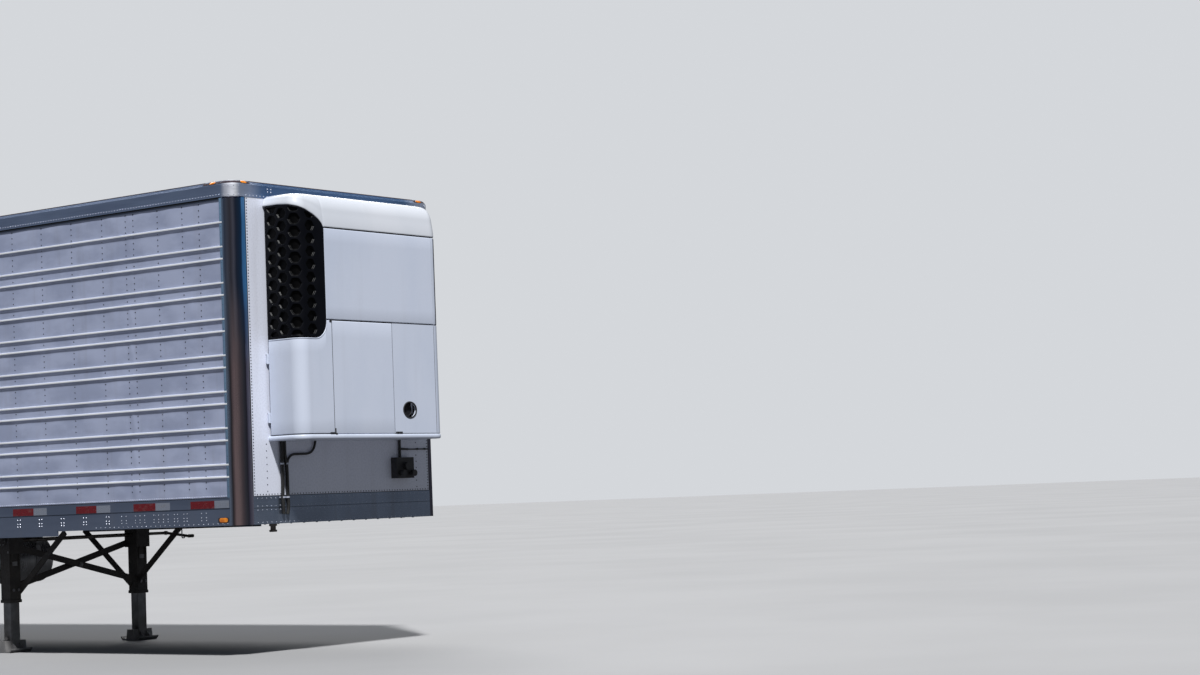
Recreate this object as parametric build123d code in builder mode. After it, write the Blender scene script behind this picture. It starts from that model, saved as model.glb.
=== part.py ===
"""Refrigerated box semi trailer of the 53 ft class, parked on its landing legs.

The frame is X forward, Y towards the trailer's left (its road side) and Z up from the ground, in
millimetres. Stations are measured backwards from the outer face of the front wall.
"""
from build123d import *
from math import cos, pi, sin
import os

os.makedirs("parts", exist_ok=True)

# Overall sizes of the insulated body
BODY_LENGTH = 16154
WIDTH = 2591
HALF = WIDTH / 2
RAIL_BOTTOM = 1140
RAIL_STEP = 1290
RAIL_TOP = 1376
PANEL_TOP = 3960
EDGE_TOP = 4104
EDGE_BEVEL = 36
ROOF_CROWN = 4110
CEILING = 4030
FLOOR_TOP = 1372
FLOOR_BOTTOM = 1252
RAIL_DEPTH = 14.5
SKIN = HALF - RAIL_DEPTH
WALL = 46
LINER = SKIN - WALL
FRONT_WALL = 100
POST_SIDE = 125
POST_FRONT = 159
CORNER_R = 115
REAR_FRAME = 100

# Refrigeration unit on the front wall
UNIT_DEPTH = 400
UNIT_HALF = 930
UNIT_R = 115
UNIT_TOP = 3985
UNIT_SKIN = 12
TRAY_LIP = 10

# Rear doors and their hinges
DOOR_THICK = 75
DOOR_OPENING = 1180
DOOR_GAP = 6
PIN_BACK = 60
PIN_R = 8
BARREL_R = 14

# The box's middle, the unit's tray and the hinge barrels at its two ends, is at X = 0
NOSE = (BODY_LENGTH + PIN_BACK + BARREL_R - UNIT_DEPTH - TRAY_LIP) / 2
SIDES = {"curb": -1, "road": 1}
RUNNING = 0.1


def back(station):
    """X of a point that far behind the front wall."""
    return NOSE - station


REAR = back(BODY_LENGTH)
FRAME_FRONT = back(BODY_LENGTH - REAR_FRAME)


def save(part, name):
    """Labels a finished piece and writes its file."""
    part.label = name
    export_step(part, f"parts/{name}.step")


def bar(start, end, wide, thick, along):
    """A flat bar from start to end; its thickness lies in the direction along."""
    direction = Vector(*end) - Vector(*start)
    plane = Plane(origin=start, x_dir=along, z_dir=direction)
    with BuildSketch(plane, mode=Mode.PRIVATE) as outline:
        Rectangle(thick, wide)
    extrude(outline.sketch, amount=direction.length)


def rod(start, end, radius):
    """A round bar from start to end."""
    direction = Vector(*end) - Vector(*start)
    with BuildSketch(Plane(origin=start, z_dir=direction), mode=Mode.PRIVATE) as outline:
        Circle(radius)
    extrude(outline.sketch, amount=direction.length)


def block(x_range, y_range, z_range, mode=Mode.ADD):
    """A box between the given pairs of limits."""
    low = [min(pair) for pair in (x_range, y_range, z_range)]
    high = [max(pair) for pair in (x_range, y_range, z_range)]
    middle = [(a + b) / 2 for a, b in zip(low, high)]
    with Locations(tuple(middle)):
        Box(high[0] - low[0], high[1] - low[1], high[2] - low[2], mode=mode)


# Side walls: an insulated panel whose outer sheet carries long pressed ribs
RIB_HALF = 23
RIB_CREST = 11
RIB_SINGLE = 3738
RIB_PAIRS_TOP = 3477
RIB_PITCH = 311.8
RIB_APART = 105
RIB_PAIRS = 7
rib_heights = [RIB_SINGLE]
for pair in range(RIB_PAIRS):
    middle = RIB_PAIRS_TOP - pair * RIB_PITCH
    rib_heights += [middle + RIB_APART / 2, middle - RIB_APART / 2]

WALL_FRONT = back(POST_SIDE)
WALL_LENGTH = WALL_FRONT - FRAME_FRONT
for name, side in SIDES.items():
    with BuildPart() as side_wall:
        with BuildSketch(Plane.YZ.offset(FRAME_FRONT)) as section:
            with Locations((side * (SKIN - WALL / 2), (FLOOR_BOTTOM + CEILING) / 2)):
                Rectangle(WALL, CEILING - FLOOR_BOTTOM)
            for z in rib_heights:
                with BuildLine():
                    Polyline(
                        (side * SKIN, z - RIB_HALF),
                        (side * HALF, z - RIB_CREST),
                        (side * HALF, z + RIB_CREST),
                        (side * SKIN, z + RIB_HALF),
                        close=True,
                    )
                make_face()
        extrude(amount=WALL_LENGTH)
    save(side_wall.part, f"side_wall_{name}")

# Front wall, the polished corner posts and the bright kick plate under the unit
KICK_TOP = 1380
KICK_SEAM = 1280
KICK_RECESS = 6
KICK_PROUD = 2
POST_INNER = HALF - POST_FRONT
with BuildPart() as front_wall:
    with BuildSketch(Plane.XZ) as section:
        with BuildLine():
            Polyline(
                (back(FRONT_WALL), RAIL_BOTTOM),
                (back(KICK_RECESS), RAIL_BOTTOM),
                (back(KICK_RECESS), KICK_TOP),
                (NOSE, KICK_TOP),
                (NOSE, PANEL_TOP),
                (back(FRONT_WALL), PANEL_TOP),
                close=True,
            )
        make_face()
    extrude(amount=POST_INNER, both=True)
save(front_wall.part, "front_wall")

with BuildPart() as kick_plate:
    for low, high in ((RAIL_BOTTOM, KICK_SEAM - 1), (KICK_SEAM + 1, KICK_TOP)):
        with BuildSketch(Plane.XZ):
            with Locations((back(KICK_RECESS / 2) + KICK_PROUD / 2, (low + high) / 2)):
                Rectangle(KICK_RECESS + KICK_PROUD, high - low)
        extrude(amount=POST_INNER, both=True)
save(kick_plate.part, "front_kick_plate")

with BuildPart() as corner_posts:
    for side in SIDES.values():
        with BuildSketch(Plane.XY.offset(RAIL_BOTTOM)):
            with BuildLine():
                Polyline(
                    (back(CORNER_R), side * HALF),
                    (WALL_FRONT, side * HALF),
                    (WALL_FRONT, side * LINER),
                    (back(FRONT_WALL), side * LINER),
                    (back(FRONT_WALL), side * POST_INNER),
                    (NOSE, side * POST_INNER),
                    (NOSE, side * (HALF - CORNER_R)),
                )
                RadiusArc(
                    (NOSE, side * (HALF - CORNER_R)), (back(CORNER_R), side * HALF), side * CORNER_R
                )
            make_face()
        extrude(amount=PANEL_TOP - RAIL_BOTTOM)
save(corner_posts.part, "corner_posts")

# Front header: one rail that turns round both corners above the posts
HEADER_PROUD = 3
with BuildPart() as header:
    with BuildSketch(Plane.XY.offset(PANEL_TOP)):
        with BuildLine():
            Polyline((back(CORNER_R), -HALF), (WALL_FRONT, -HALF), (WALL_FRONT, HALF), (back(CORNER_R), HALF))
            RadiusArc(
                (back(CORNER_R), HALF), (NOSE + HEADER_PROUD, HALF - CORNER_R - HEADER_PROUD),
                -CORNER_R - HEADER_PROUD,
            )
            Line(
                (NOSE + HEADER_PROUD, HALF - CORNER_R - HEADER_PROUD),
                (NOSE + HEADER_PROUD, -HALF + CORNER_R + HEADER_PROUD),
            )
            RadiusArc(
                (NOSE + HEADER_PROUD, -HALF + CORNER_R + HEADER_PROUD), (back(CORNER_R), -HALF),
                -CORNER_R - HEADER_PROUD,
            )
        make_face()
    extrude(amount=EDGE_TOP - PANEL_TOP)
    outer_edges = header.edges().group_by(Axis.Z)[-1].filter_by(
        lambda edge: edge.center().X > back(CORNER_R / 2) or abs(edge.center().Y) > HALF - 1
    )
    chamfer(outer_edges, EDGE_BEVEL)
save(header.part, "front_header")

# Long rails: the top rail laps over the roof's edge, the base rail has a tape band and a rivet band
TOP_FLANGE = 1225
FLANGE_LAP = 6
ROOF_EDGE = EDGE_TOP - FLANGE_LAP
BEVEL_IN = HALF - EDGE_BEVEL - 2.5
BEVEL_LOW = ROOF_EDGE - SKIN + BEVEL_IN
with BuildPart() as top_rails:
    for side in SIDES.values():
        with BuildSketch(Plane.YZ.offset(FRAME_FRONT)):
            with BuildLine():
                Polyline(
                    (side * SKIN, PANEL_TOP),
                    (side * HALF, PANEL_TOP),
                    (side * HALF, EDGE_TOP - EDGE_BEVEL),
                    (side * (HALF - EDGE_BEVEL), EDGE_TOP),
                    (side * TOP_FLANGE, EDGE_TOP),
                    (side * TOP_FLANGE, ROOF_EDGE),
                    (side * BEVEL_IN, ROOF_EDGE),
                    (side * SKIN, BEVEL_LOW),
                    close=True,
                )
            make_face()
        extrude(amount=WALL_LENGTH)
save(top_rails.part, "top_rails")

BAND_SET_IN = 4
BASE_FLANGE = 1225
BASE_WEB = 10
DEEP_FROM = 2370
DEEP_TO = 5000
DEEP_DROP = 45
with BuildPart() as base_rails:
    for side in SIDES.values():
        with BuildSketch(Plane.YZ.offset(FRAME_FRONT)):
            with BuildLine():
                Polyline(
                    (side * SKIN, RAIL_TOP),
                    (side * HALF, RAIL_TOP),
                    (side * HALF, RAIL_STEP),
                    (side * (HALF - BAND_SET_IN), RAIL_STEP - BAND_SET_IN),
                    (side * (HALF - BAND_SET_IN), RAIL_BOTTOM),
                    (side * BASE_FLANGE, RAIL_BOTTOM),
                    (side * BASE_FLANGE, RAIL_BOTTOM + BASE_WEB),
                    (side * SKIN, RAIL_BOTTOM + BASE_WEB),
                    close=True,
                )
            make_face()
        extrude(amount=WALL_LENGTH)
        deep_middle = (
            back((DEEP_FROM + DEEP_TO) / 2),
            side * (HALF - BAND_SET_IN - RAIL_DEPTH / 2),
            RAIL_BOTTOM - DEEP_DROP / 2,
        )
        with Locations(deep_middle):
            Box(DEEP_TO - DEEP_FROM, RAIL_DEPTH, DEEP_DROP)
save(base_rails.part, "base_rails")

# Roof, with a slight crown between the rails, and the grooved duct floor
with BuildPart() as roof:
    with BuildSketch(Plane.YZ.offset(FRAME_FRONT)):
        with BuildLine():
            Polyline(
                (-TOP_FLANGE, ROOF_EDGE), (-BEVEL_IN, ROOF_EDGE), (-SKIN, BEVEL_LOW), (-SKIN, CEILING),
                (SKIN, CEILING), (SKIN, BEVEL_LOW), (BEVEL_IN, ROOF_EDGE), (TOP_FLANGE, ROOF_EDGE),
            )
            ThreePointArc((TOP_FLANGE, ROOF_EDGE), (0, ROOF_CROWN), (-TOP_FLANGE, ROOF_EDGE))
        make_face()
    extrude(amount=WALL_LENGTH)
save(roof.part, "roof_panel")

DUCT_PITCH = 60
DUCT_WIDE = 32
DUCT_DEEP = 36
DUCTS = 39
FLOOR_LENGTH = back(FRONT_WALL) - FRAME_FRONT
with BuildPart() as floor:
    with BuildSketch(Plane.YZ.offset(FRAME_FRONT)):
        with Locations((0, (FLOOR_BOTTOM + FLOOR_TOP) / 2)):
            Rectangle(2 * LINER, FLOOR_TOP - FLOOR_BOTTOM)
        with Locations((0, FLOOR_TOP - DUCT_DEEP / 2)):
            with GridLocations(DUCT_PITCH, 0, DUCTS, 1):
                Rectangle(DUCT_WIDE, DUCT_DEEP, mode=Mode.SUBTRACT)
    extrude(amount=FLOOR_LENGTH)
save(floor.part, "floor_panel")

# Return-air bulkhead inside the front wall: a sheet that stands off it, open along its foot
BULKHEAD_STANDOFF = 90
BULKHEAD_THICK = 25
BULKHEAD_FOOT = 150
BULKHEAD_HALF = 1150
BULKHEAD_TOP = CEILING - 320
with BuildPart() as bulkhead:
    face = back(FRONT_WALL + BULKHEAD_STANDOFF)
    middle_z = (FLOOR_TOP + BULKHEAD_FOOT + BULKHEAD_TOP) / 2
    with Locations((face - BULKHEAD_THICK / 2, 0, middle_z)):
        Box(BULKHEAD_THICK, 2 * BULKHEAD_HALF, BULKHEAD_TOP - FLOOR_TOP - BULKHEAD_FOOT)
    for y in (-BULKHEAD_HALF + 40, 0, BULKHEAD_HALF - 40):
        with Locations((face + BULKHEAD_STANDOFF / 2, y, (FLOOR_TOP + BULKHEAD_TOP) / 2)):
            Box(BULKHEAD_STANDOFF, 40, BULKHEAD_TOP - FLOOR_TOP)
save(bulkhead.part, "air_bulkhead")

# Cross-members: one loop of I-beams between the base rails
BEAM_FIRST = 1990
BEAM_PITCH = 305
BEAMS = 46
BEAM_FLANGE = 60
BEAM_PLATE = 7
BEAM_BOTTOM = RAIL_BOTTOM + BASE_WEB
with BuildPart() as crossmembers:
    for beam in range(BEAMS):
        with BuildSketch(Plane.XZ.offset(-SKIN)):
            with Locations((back(BEAM_FIRST + beam * BEAM_PITCH), (BEAM_BOTTOM + FLOOR_BOTTOM) / 2)):
                Rectangle(BEAM_PLATE, FLOOR_BOTTOM - BEAM_BOTTOM)
                for end in (-1, 1):
                    with Locations((0, end * (FLOOR_BOTTOM - BEAM_BOTTOM - BEAM_PLATE) / 2)):
                        Rectangle(BEAM_FLANGE, BEAM_PLATE)
        extrude(amount=2 * SKIN)
save(crossmembers.part, "crossmembers")

# Upper coupler: the plate that rides on the towing vehicle, and its kingpin
COUPLER_REAR = 1840
COUPLER_FRONT = FRONT_WALL
COUPLER_HALF = 1200
COUPLER_PLATE = 10
KINGPIN_STATION = 914
COLLAR_R = 36.5
NECK_R = 25.4
HEAD_R = 35.7
COLLAR_DROP = 30
NECK_DROP = 65
HEAD_DROP = 84
with BuildPart() as coupler:
    length = COUPLER_REAR - COUPLER_FRONT
    middle_x = back((COUPLER_REAR + COUPLER_FRONT) / 2)
    with Locations((middle_x, 0, (RAIL_BOTTOM + FLOOR_BOTTOM) / 2)):
        Box(length, 2 * COUPLER_HALF, FLOOR_BOTTOM - RAIL_BOTTOM)
    with Locations((middle_x, 0, (RAIL_BOTTOM + COUPLER_PLATE + FLOOR_BOTTOM) / 2)):
        Box(
            length - 120, 2 * COUPLER_HALF - 120, FLOOR_BOTTOM - RAIL_BOTTOM - COUPLER_PLATE,
            mode=Mode.SUBTRACT,
        )
    for x in (-480, 480):
        with Locations((middle_x + x, 0, (RAIL_BOTTOM + FLOOR_BOTTOM) / 2)):
            Box(40, 2 * COUPLER_HALF, FLOOR_BOTTOM - RAIL_BOTTOM)
    with Locations((back(KINGPIN_STATION), 0, RAIL_BOTTOM)):
        Cylinder(COLLAR_R, 4 * COUPLER_PLATE, mode=Mode.SUBTRACT)
save(coupler.part, "coupler_plate")

with BuildPart() as kingpin:
    with BuildSketch(Plane.XZ):
        with BuildLine():
            Polyline(
                (0, RAIL_BOTTOM - HEAD_DROP),
                (HEAD_R - 4, RAIL_BOTTOM - HEAD_DROP),
                (HEAD_R, RAIL_BOTTOM - HEAD_DROP + 4),
                (HEAD_R, RAIL_BOTTOM - NECK_DROP),
                (NECK_R, RAIL_BOTTOM - NECK_DROP),
                (NECK_R, RAIL_BOTTOM - COLLAR_DROP),
                (COLLAR_R, RAIL_BOTTOM - COLLAR_DROP),
                (COLLAR_R, RAIL_BOTTOM + COUPLER_PLATE),
                (COLLAR_R + 30, RAIL_BOTTOM + COUPLER_PLATE),
                (COLLAR_R + 30, RAIL_BOTTOM + 2 * COUPLER_PLATE),
                (0, RAIL_BOTTOM + 2 * COUPLER_PLATE),
                close=True,
            )
        make_face()
    revolve(axis=Axis.Z)
kingpin_part = Pos(back(KINGPIN_STATION), 0, 0) * kingpin.part
save(kingpin_part, "kingpin")

# Landing gear: square outer legs with braces, extended inner legs on sand shoes, and the crank drive
LEG_STATION = 3650
LEG_Y = 800
LEG_OUTER = 130
LEG_WALL = 8
LEG_INNER = 104
OUTER_BOTTOM = 470
INNER_TOP = 640
SHOE_LONG = 280
SHOE_WIDE = 250
SHOE_THICK = 14
BRACE_LOW = 560
BRACE_SPREAD = 720
LEG_X = back(LEG_STATION)
with BuildPart() as legs:
    for side in SIDES.values():
        y = side * LEG_Y
        block((LEG_X - 65, LEG_X + 65), (y - 65, y + 65), (OUTER_BOTTOM, BEAM_BOTTOM))
        block((LEG_X - 90, LEG_X + 90), (y - 85, y + 85), (BEAM_BOTTOM - 215, BEAM_BOTTOM))
        block((LEG_X - 210, LEG_X + 210), (y - 135, y + 165), (BEAM_BOTTOM - 20, BEAM_BOTTOM))
        inner_face = side * (LEG_Y - LEG_OUTER / 2 - 6)
        for way in (-1, 1):
            bar(
                (LEG_X + way * 20, inner_face, BRACE_LOW),
                (LEG_X + way * BRACE_SPREAD, inner_face, BEAM_BOTTOM - 24), 60, 12, (0, 1, 0),
            )
        block(
            (LEG_X - BRACE_SPREAD - 60, LEG_X + BRACE_SPREAD + 60),
            (inner_face - 30, inner_face + 30), (BEAM_BOTTOM - 12, BEAM_BOTTOM),
        )
        cavity = LEG_OUTER / 2 - LEG_WALL
        block(
            (LEG_X - cavity, LEG_X + cavity), (y - cavity, y + cavity), (OUTER_BOTTOM, INNER_TOP + 20),
            mode=Mode.SUBTRACT,
        )
    bar((LEG_X - 71, -LEG_Y, BRACE_LOW + 30), (LEG_X - 71, LEG_Y, 1000), 60, 12, (1, 0, 0))
    bar((LEG_X + 71, LEG_Y, BRACE_LOW + 30), (LEG_X + 71, -LEG_Y, 1000), 60, 12, (1, 0, 0))
save(legs.part, "landing_legs")

with BuildPart() as inner_legs:
    for side in SIDES.values():
        half = LEG_INNER / 2
        y = side * LEG_Y
        block((LEG_X - half, LEG_X + half), (y - half, y + half), (60, INNER_TOP))
        with BuildSketch(Plane.XZ.offset(-y)):
            with BuildLine():
                Polyline(
                    (LEG_X - SHOE_LONG / 2 + 30, 0), (LEG_X + SHOE_LONG / 2 - 30, 0),
                    (LEG_X + SHOE_LONG / 2, 26), (LEG_X + SHOE_LONG / 2, 26 + SHOE_THICK),
                    (LEG_X + SHOE_LONG / 2 - 34, SHOE_THICK + 2), (LEG_X + 56, SHOE_THICK),
                    (LEG_X + 44, 110), (LEG_X - 44, 110), (LEG_X - 56, SHOE_THICK),
                    (LEG_X - SHOE_LONG / 2 + 34, SHOE_THICK + 2),
                    (LEG_X - SHOE_LONG / 2, 26 + SHOE_THICK), (LEG_X - SHOE_LONG / 2, 26),
                    close=True,
                )
            make_face()
        extrude(amount=SHOE_WIDE / 2, both=True)
save(inner_legs.part, "landing_inner_legs")

SHAFT_Z = 1060
CRANK_Y = 1215
with BuildPart() as drive:
    shaft_end = LEG_Y - 85
    rod((LEG_X, -shaft_end, SHAFT_Z), (LEG_X, shaft_end, SHAFT_Z), 18)
    rod((LEG_X, LEG_Y + 85, SHAFT_Z), (LEG_X, CRANK_Y, SHAFT_Z), 15)
    bar((LEG_X - 16, CRANK_Y - 8, SHAFT_Z), (LEG_X + 330, CRANK_Y - 8, SHAFT_Z - 40), 26, 16, (0, 1, 0))
    rod((LEG_X + 316, CRANK_Y - 8, SHAFT_Z - 38), (LEG_X + 316, CRANK_Y + 60, SHAFT_Z - 38), 13)
save(drive.part, "landing_drive")

# Sliding bogie under the rear: body rails, bogie frame with hangers, trailing arms on air springs
AXLES = {"front": 12905, "rear": 14150}
AXLE_Z = 514
SLIDER_FROM = 11500
SLIDER_TO = 15750
SLIDER_IN = 548
SLIDER_OUT = 560
BOGIE_FROM = 12150
BOGIE_TO = 14860
BOGIE_IN = 455
BOGIE_OUT = 540
BOGIE_BOTTOM = 1010
BOGIE_TOP = 1145
LOCK_STATIONS = (12230, 14400)
LOCK_Z = 1095
with BuildPart() as slider_rails:
    for side in SIDES.values():
        with BuildSketch(Plane.YZ.offset(back(SLIDER_TO))):
            with BuildLine():
                Polyline(
                    (side * SLIDER_IN, 1040), (side * SLIDER_IN, BEAM_BOTTOM),
                    (side * (SLIDER_OUT + 60), BEAM_BOTTOM), (side * (SLIDER_OUT + 60), BEAM_BOTTOM - 12),
                    (side * SLIDER_OUT, BEAM_BOTTOM - 12), (side * SLIDER_OUT, 1040),
                    close=True,
                )
            make_face()
        extrude(amount=SLIDER_TO - SLIDER_FROM)
        for station in LOCK_STATIONS:
            with Locations((back(station), side * (SLIDER_IN + SLIDER_OUT) / 2, LOCK_Z)):
                Cylinder(20.5, 40, rotation=(90, 0, 0), mode=Mode.SUBTRACT)
save(slider_rails.part, "slider_rails")

PIVOT_AHEAD = 480
PIVOT_Z = 580
PIVOT_R = 20
CHEEKS = ((445, 457), (538, 550))
with BuildPart() as bogie:
    for side in SIDES.values():
        block(
            (back(BOGIE_TO), back(BOGIE_FROM)), (side * BOGIE_IN, side * BOGIE_OUT),
            (BOGIE_BOTTOM, BOGIE_TOP),
        )
        for station in LOCK_STATIONS:
            rod((back(station), side * BOGIE_IN, LOCK_Z), (back(station), side * 575, LOCK_Z), 20)
        for station in AXLES.values():
            pivot_x = back(station) + PIVOT_AHEAD
            for y_in, y_out in CHEEKS:
                with BuildSketch(Plane.XZ.offset(-side * y_in)):
                    with BuildLine():
                        Polyline(
                            (pivot_x - 130, BOGIE_BOTTOM + 20), (pivot_x - 60, PIVOT_Z - 60),
                            (pivot_x + 60, PIVOT_Z - 60), (pivot_x + 130, BOGIE_BOTTOM + 20),
                            close=True,
                        )
                    make_face()
                extrude(amount=-side * (y_out - y_in))
            rod((pivot_x, side * 440, PIVOT_Z), (pivot_x, side * 555, PIVOT_Z), PIVOT_R)
    for station in (12300, 13530, 14700):
        block(
            (back(station + 45), back(station - 45)), (-BOGIE_IN, BOGIE_IN),
            (BOGIE_BOTTOM + 30, BOGIE_TOP - 15),
        )
save(bogie.part, "bogie_frame")

ARM_IN = 463
ARM_OUT = 532
AXLE_R = 63.5
SEAT_Z = 600
SPRING_BEHIND = 330
with BuildPart() as arms:
    for station in AXLES.values():
        x = back(station)
        for side in SIDES.values():
            with BuildSketch(Plane.XZ.offset(-side * ARM_IN)):
                with BuildLine():
                    Polyline(
                        (x + 535, PIVOT_Z + 40), (x + 535, PIVOT_Z - 40), (x + 470, PIVOT_Z - 62),
                        (x + 70, 432), (x - 70, 432), (x - 250, 510), (x - 440, 560),
                        (x - 440, SEAT_Z), (x - 80, SEAT_Z), (x + 60, 628), (x + 470, 642),
                        close=True,
                    )
                make_face()
                with Locations((x, AXLE_Z)):
                    Circle(AXLE_R + 0.5, mode=Mode.SUBTRACT)
                with Locations((x + PIVOT_AHEAD, PIVOT_Z)):
                    Circle(PIVOT_R + 0.5, mode=Mode.SUBTRACT)
            extrude(amount=-side * (ARM_OUT - ARM_IN))
save(arms.part, "suspension_arms")

SPRING_Y = (ARM_IN + ARM_OUT) / 2
with BuildPart() as springs:
    for station in AXLES.values():
        for side in SIDES.values():
            with BuildSketch(Plane.XZ) as outline:
                with BuildLine():
                    Polyline(
                        (0, SEAT_Z), (100, SEAT_Z), (88, 730), (128, 745), (137, 800), (137, 930),
                        (120, 990), (120, BOGIE_BOTTOM), (0, BOGIE_BOTTOM), close=True,
                    )
                make_face()
            with Locations((back(station + SPRING_BEHIND), side * SPRING_Y, 0)):
                add(revolve(outline.sketch, axis=Axis.Z, mode=Mode.PRIVATE))
save(springs.part, "air_springs")

with BuildPart() as shocks:
    for station in AXLES.values():
        x = back(station)
        for side in SIDES.values():
            y = side * 578
            rod((x + 130, y, 560), (x + 215, y, 790), 26)
            rod((x + 205, y, 753), (x + 272, y, 1010), 34)
            rod((x + 130, side * ARM_OUT, 560), (x + 130, side * 606, 560), 18)
            rod((x + 272, side * BOGIE_OUT, 1022), (x + 272, side * 606, 1022), 12)
save(shocks.part, "shock_absorbers")

# Axles with their spindles, shields and brake chambers
SPINDLE_R = 42
SPINDLE_END = 1110
BEAM_END = 690
SHIELD_R = 190
with BuildPart() as axles:
    for station in AXLES.values():
        x = back(station)
        rod((x, -BEAM_END, AXLE_Z), (x, BEAM_END, AXLE_Z), AXLE_R)
        rod((x, -SPINDLE_END, AXLE_Z), (x, SPINDLE_END, AXLE_Z), SPINDLE_R)
        for side in SIDES.values():
            rod((x, side * 662, AXLE_Z), (x, side * 670, AXLE_Z), SHIELD_R)
            block((x + 30, x + 96), (side * 320, side * 380), (AXLE_Z - 20, AXLE_Z + 150))
            rod((x + 90, side * 350, AXLE_Z + 100), (x + 250, side * 350, AXLE_Z + 100), 82)
save(axles.part, "axle_beams")

# Dual wheels: tyres, and rims with discs, hub and drum in one piece, turning on each spindle
TYRE_R = 514
TYRE_HALF = 140
DUAL_APART = 344
OUTER_MIDDLE = HALF - TYRE_HALF
INNER_MIDDLE = OUTER_MIDDLE - DUAL_APART
DISC_Y = (OUTER_MIDDLE + INNER_MIDDLE) / 2
BEAD_R = 292
RIM_R = 291.5
RIM_INSIDE = 279
RIM_HALF = 120
FLANGE_R = 303
FLANGE_THICK = 11
HAND_HOLES = 10


def ring(r_in, r_out, y_in, y_out):
    """A ring about the Y axis, from a rectangle turned round it."""
    with BuildSketch(Plane.XY, mode=Mode.PRIVATE) as outline:
        with Locations(((r_in + r_out) / 2, (y_in + y_out) / 2)):
            Rectangle(r_out - r_in, y_out - y_in)
    add(revolve(outline.sketch, axis=Axis.Y, mode=Mode.PRIVATE))


for axle_name, station in AXLES.items():
    for side_name, side in SIDES.items():
        hub_place = Pos(back(station), 0, AXLE_Z)
        with BuildPart() as tyres:
            with BuildSketch(Plane.XY) as outline:
                for middle in (side * OUTER_MIDDLE, side * INNER_MIDDLE):
                    with BuildLine():
                        Polyline(
                            (BEAD_R, middle - 107), (FLANGE_R + 4, middle - 107),
                            (400, middle - TYRE_HALF), (488, middle - 126), (TYRE_R, middle - 100),
                            (TYRE_R, middle + 100), (488, middle + 126), (400, middle + TYRE_HALF),
                            (FLANGE_R + 4, middle + 107), (BEAD_R, middle + 107),
                            close=True,
                        )
                    make_face()
            revolve(axis=Axis.Y)
        save(hub_place * tyres.part, f"tyres_{axle_name}_{side_name}")
        with BuildPart() as wheel:
            for middle in (side * OUTER_MIDDLE, side * INNER_MIDDLE):
                ring(RIM_INSIDE, RIM_R, middle - RIM_HALF, middle + RIM_HALF)
                ring(RIM_INSIDE, FLANGE_R, middle - RIM_HALF, middle - RIM_HALF + FLANGE_THICK)
                ring(RIM_INSIDE, FLANGE_R, middle + RIM_HALF - FLANGE_THICK, middle + RIM_HALF)
            disc_y = side * DISC_Y
            with BuildSketch(Plane.XY) as outline:
                for way in (-1, 1):
                    with BuildLine():
                        Polyline(
                            (SPINDLE_R + RUNNING, disc_y), (205, disc_y),
                            (RIM_INSIDE + 2, disc_y + way * 78), (RIM_INSIDE + 2, disc_y + way * 106),
                            (205, disc_y + way * 22), (SPINDLE_R + RUNNING, disc_y + way * 22),
                            close=True,
                        )
                    make_face()
            revolve(axis=Axis.Y)
            for hole in range(HAND_HOLES):
                angle = hole * 360 / HAND_HOLES
                with Locations(Rot(0, angle, 0) * Pos(240, disc_y, 0)):
                    Cylinder(26, 300, rotation=(90, 0, 0), mode=Mode.SUBTRACT)
            ring(SPINDLE_R + RUNNING, 92, side * 700, side * 1120)
            ring(SPINDLE_R + RUNNING, 190, side * 940, side * DISC_Y)
            ring(0, 75, side * 1118, side * 1148)
            ring(198, 218, side * 660, side * 940)
            ring(92, 218, side * 925, side * 940)
        save(hub_place * wheel.part, f"wheel_{axle_name}_{side_name}")

# Air reservoirs, mudflaps and the rear guard
TANK_R = 105
with BuildPart() as air_tanks:
    for station in (13530, 14700):
        x = back(station) + 45 + TANK_R + 20
        rod((x, -330, 905), (x, 330, 905), TANK_R)
        for y in (-220, 220):
            block((back(station) + 45, x), (y - 20, y + 20), (905 + 60, BOGIE_TOP - 20))
save(air_tanks.part, "air_tanks")

FLAP_STATION = 14880
with BuildPart() as flaps:
    for side in SIDES.values():
        block((back(FLAP_STATION + 6), back(FLAP_STATION)), (side * 680, side * 1290), (300, 1055))
save(flaps.part, "mudflaps")

with BuildPart() as flap_hangers:
    for side in SIDES.values():
        block((back(FLAP_STATION), back(FLAP_STATION - 30)), (side * 660, side * 1290), (1015, 1055))
        for y in (720, 1190):
            block(
                (back(FLAP_STATION), back(FLAP_STATION - 30)), (side * (y - 15), side * (y + 15)),
                (1055, BEAM_BOTTOM),
            )
            block(
                (back(FLAP_STATION + 60), back(FLAP_STATION - 60)), (side * (y - 30), side * (y + 30)),
                (BEAM_BOTTOM - 10, BEAM_BOTTOM),
            )
save(flap_hangers.part, "mudflap_hangers")

GUARD_Z = 500
GUARD_Y = 700
with BuildPart() as guard:
    block((REAR + 6, REAR + 106), (-1200, 1200), (GUARD_Z - 50, GUARD_Z + 50))
    for side in SIDES.values():
        y = side * GUARD_Y
        block((REAR + 16, REAR + 86), (y - 50, y + 50), (GUARD_Z, RAIL_BOTTOM))
        bar((REAR + 60, y, GUARD_Z + 80), (REAR + 620, y, BEAM_BOTTOM - 8), 70, 12, (0, 1, 0))
        block((REAR + 560, REAR + 700), (y - 50, y + 50), (BEAM_BOTTOM - 10, BEAM_BOTTOM))
save(guard.part, "rear_guard")

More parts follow.
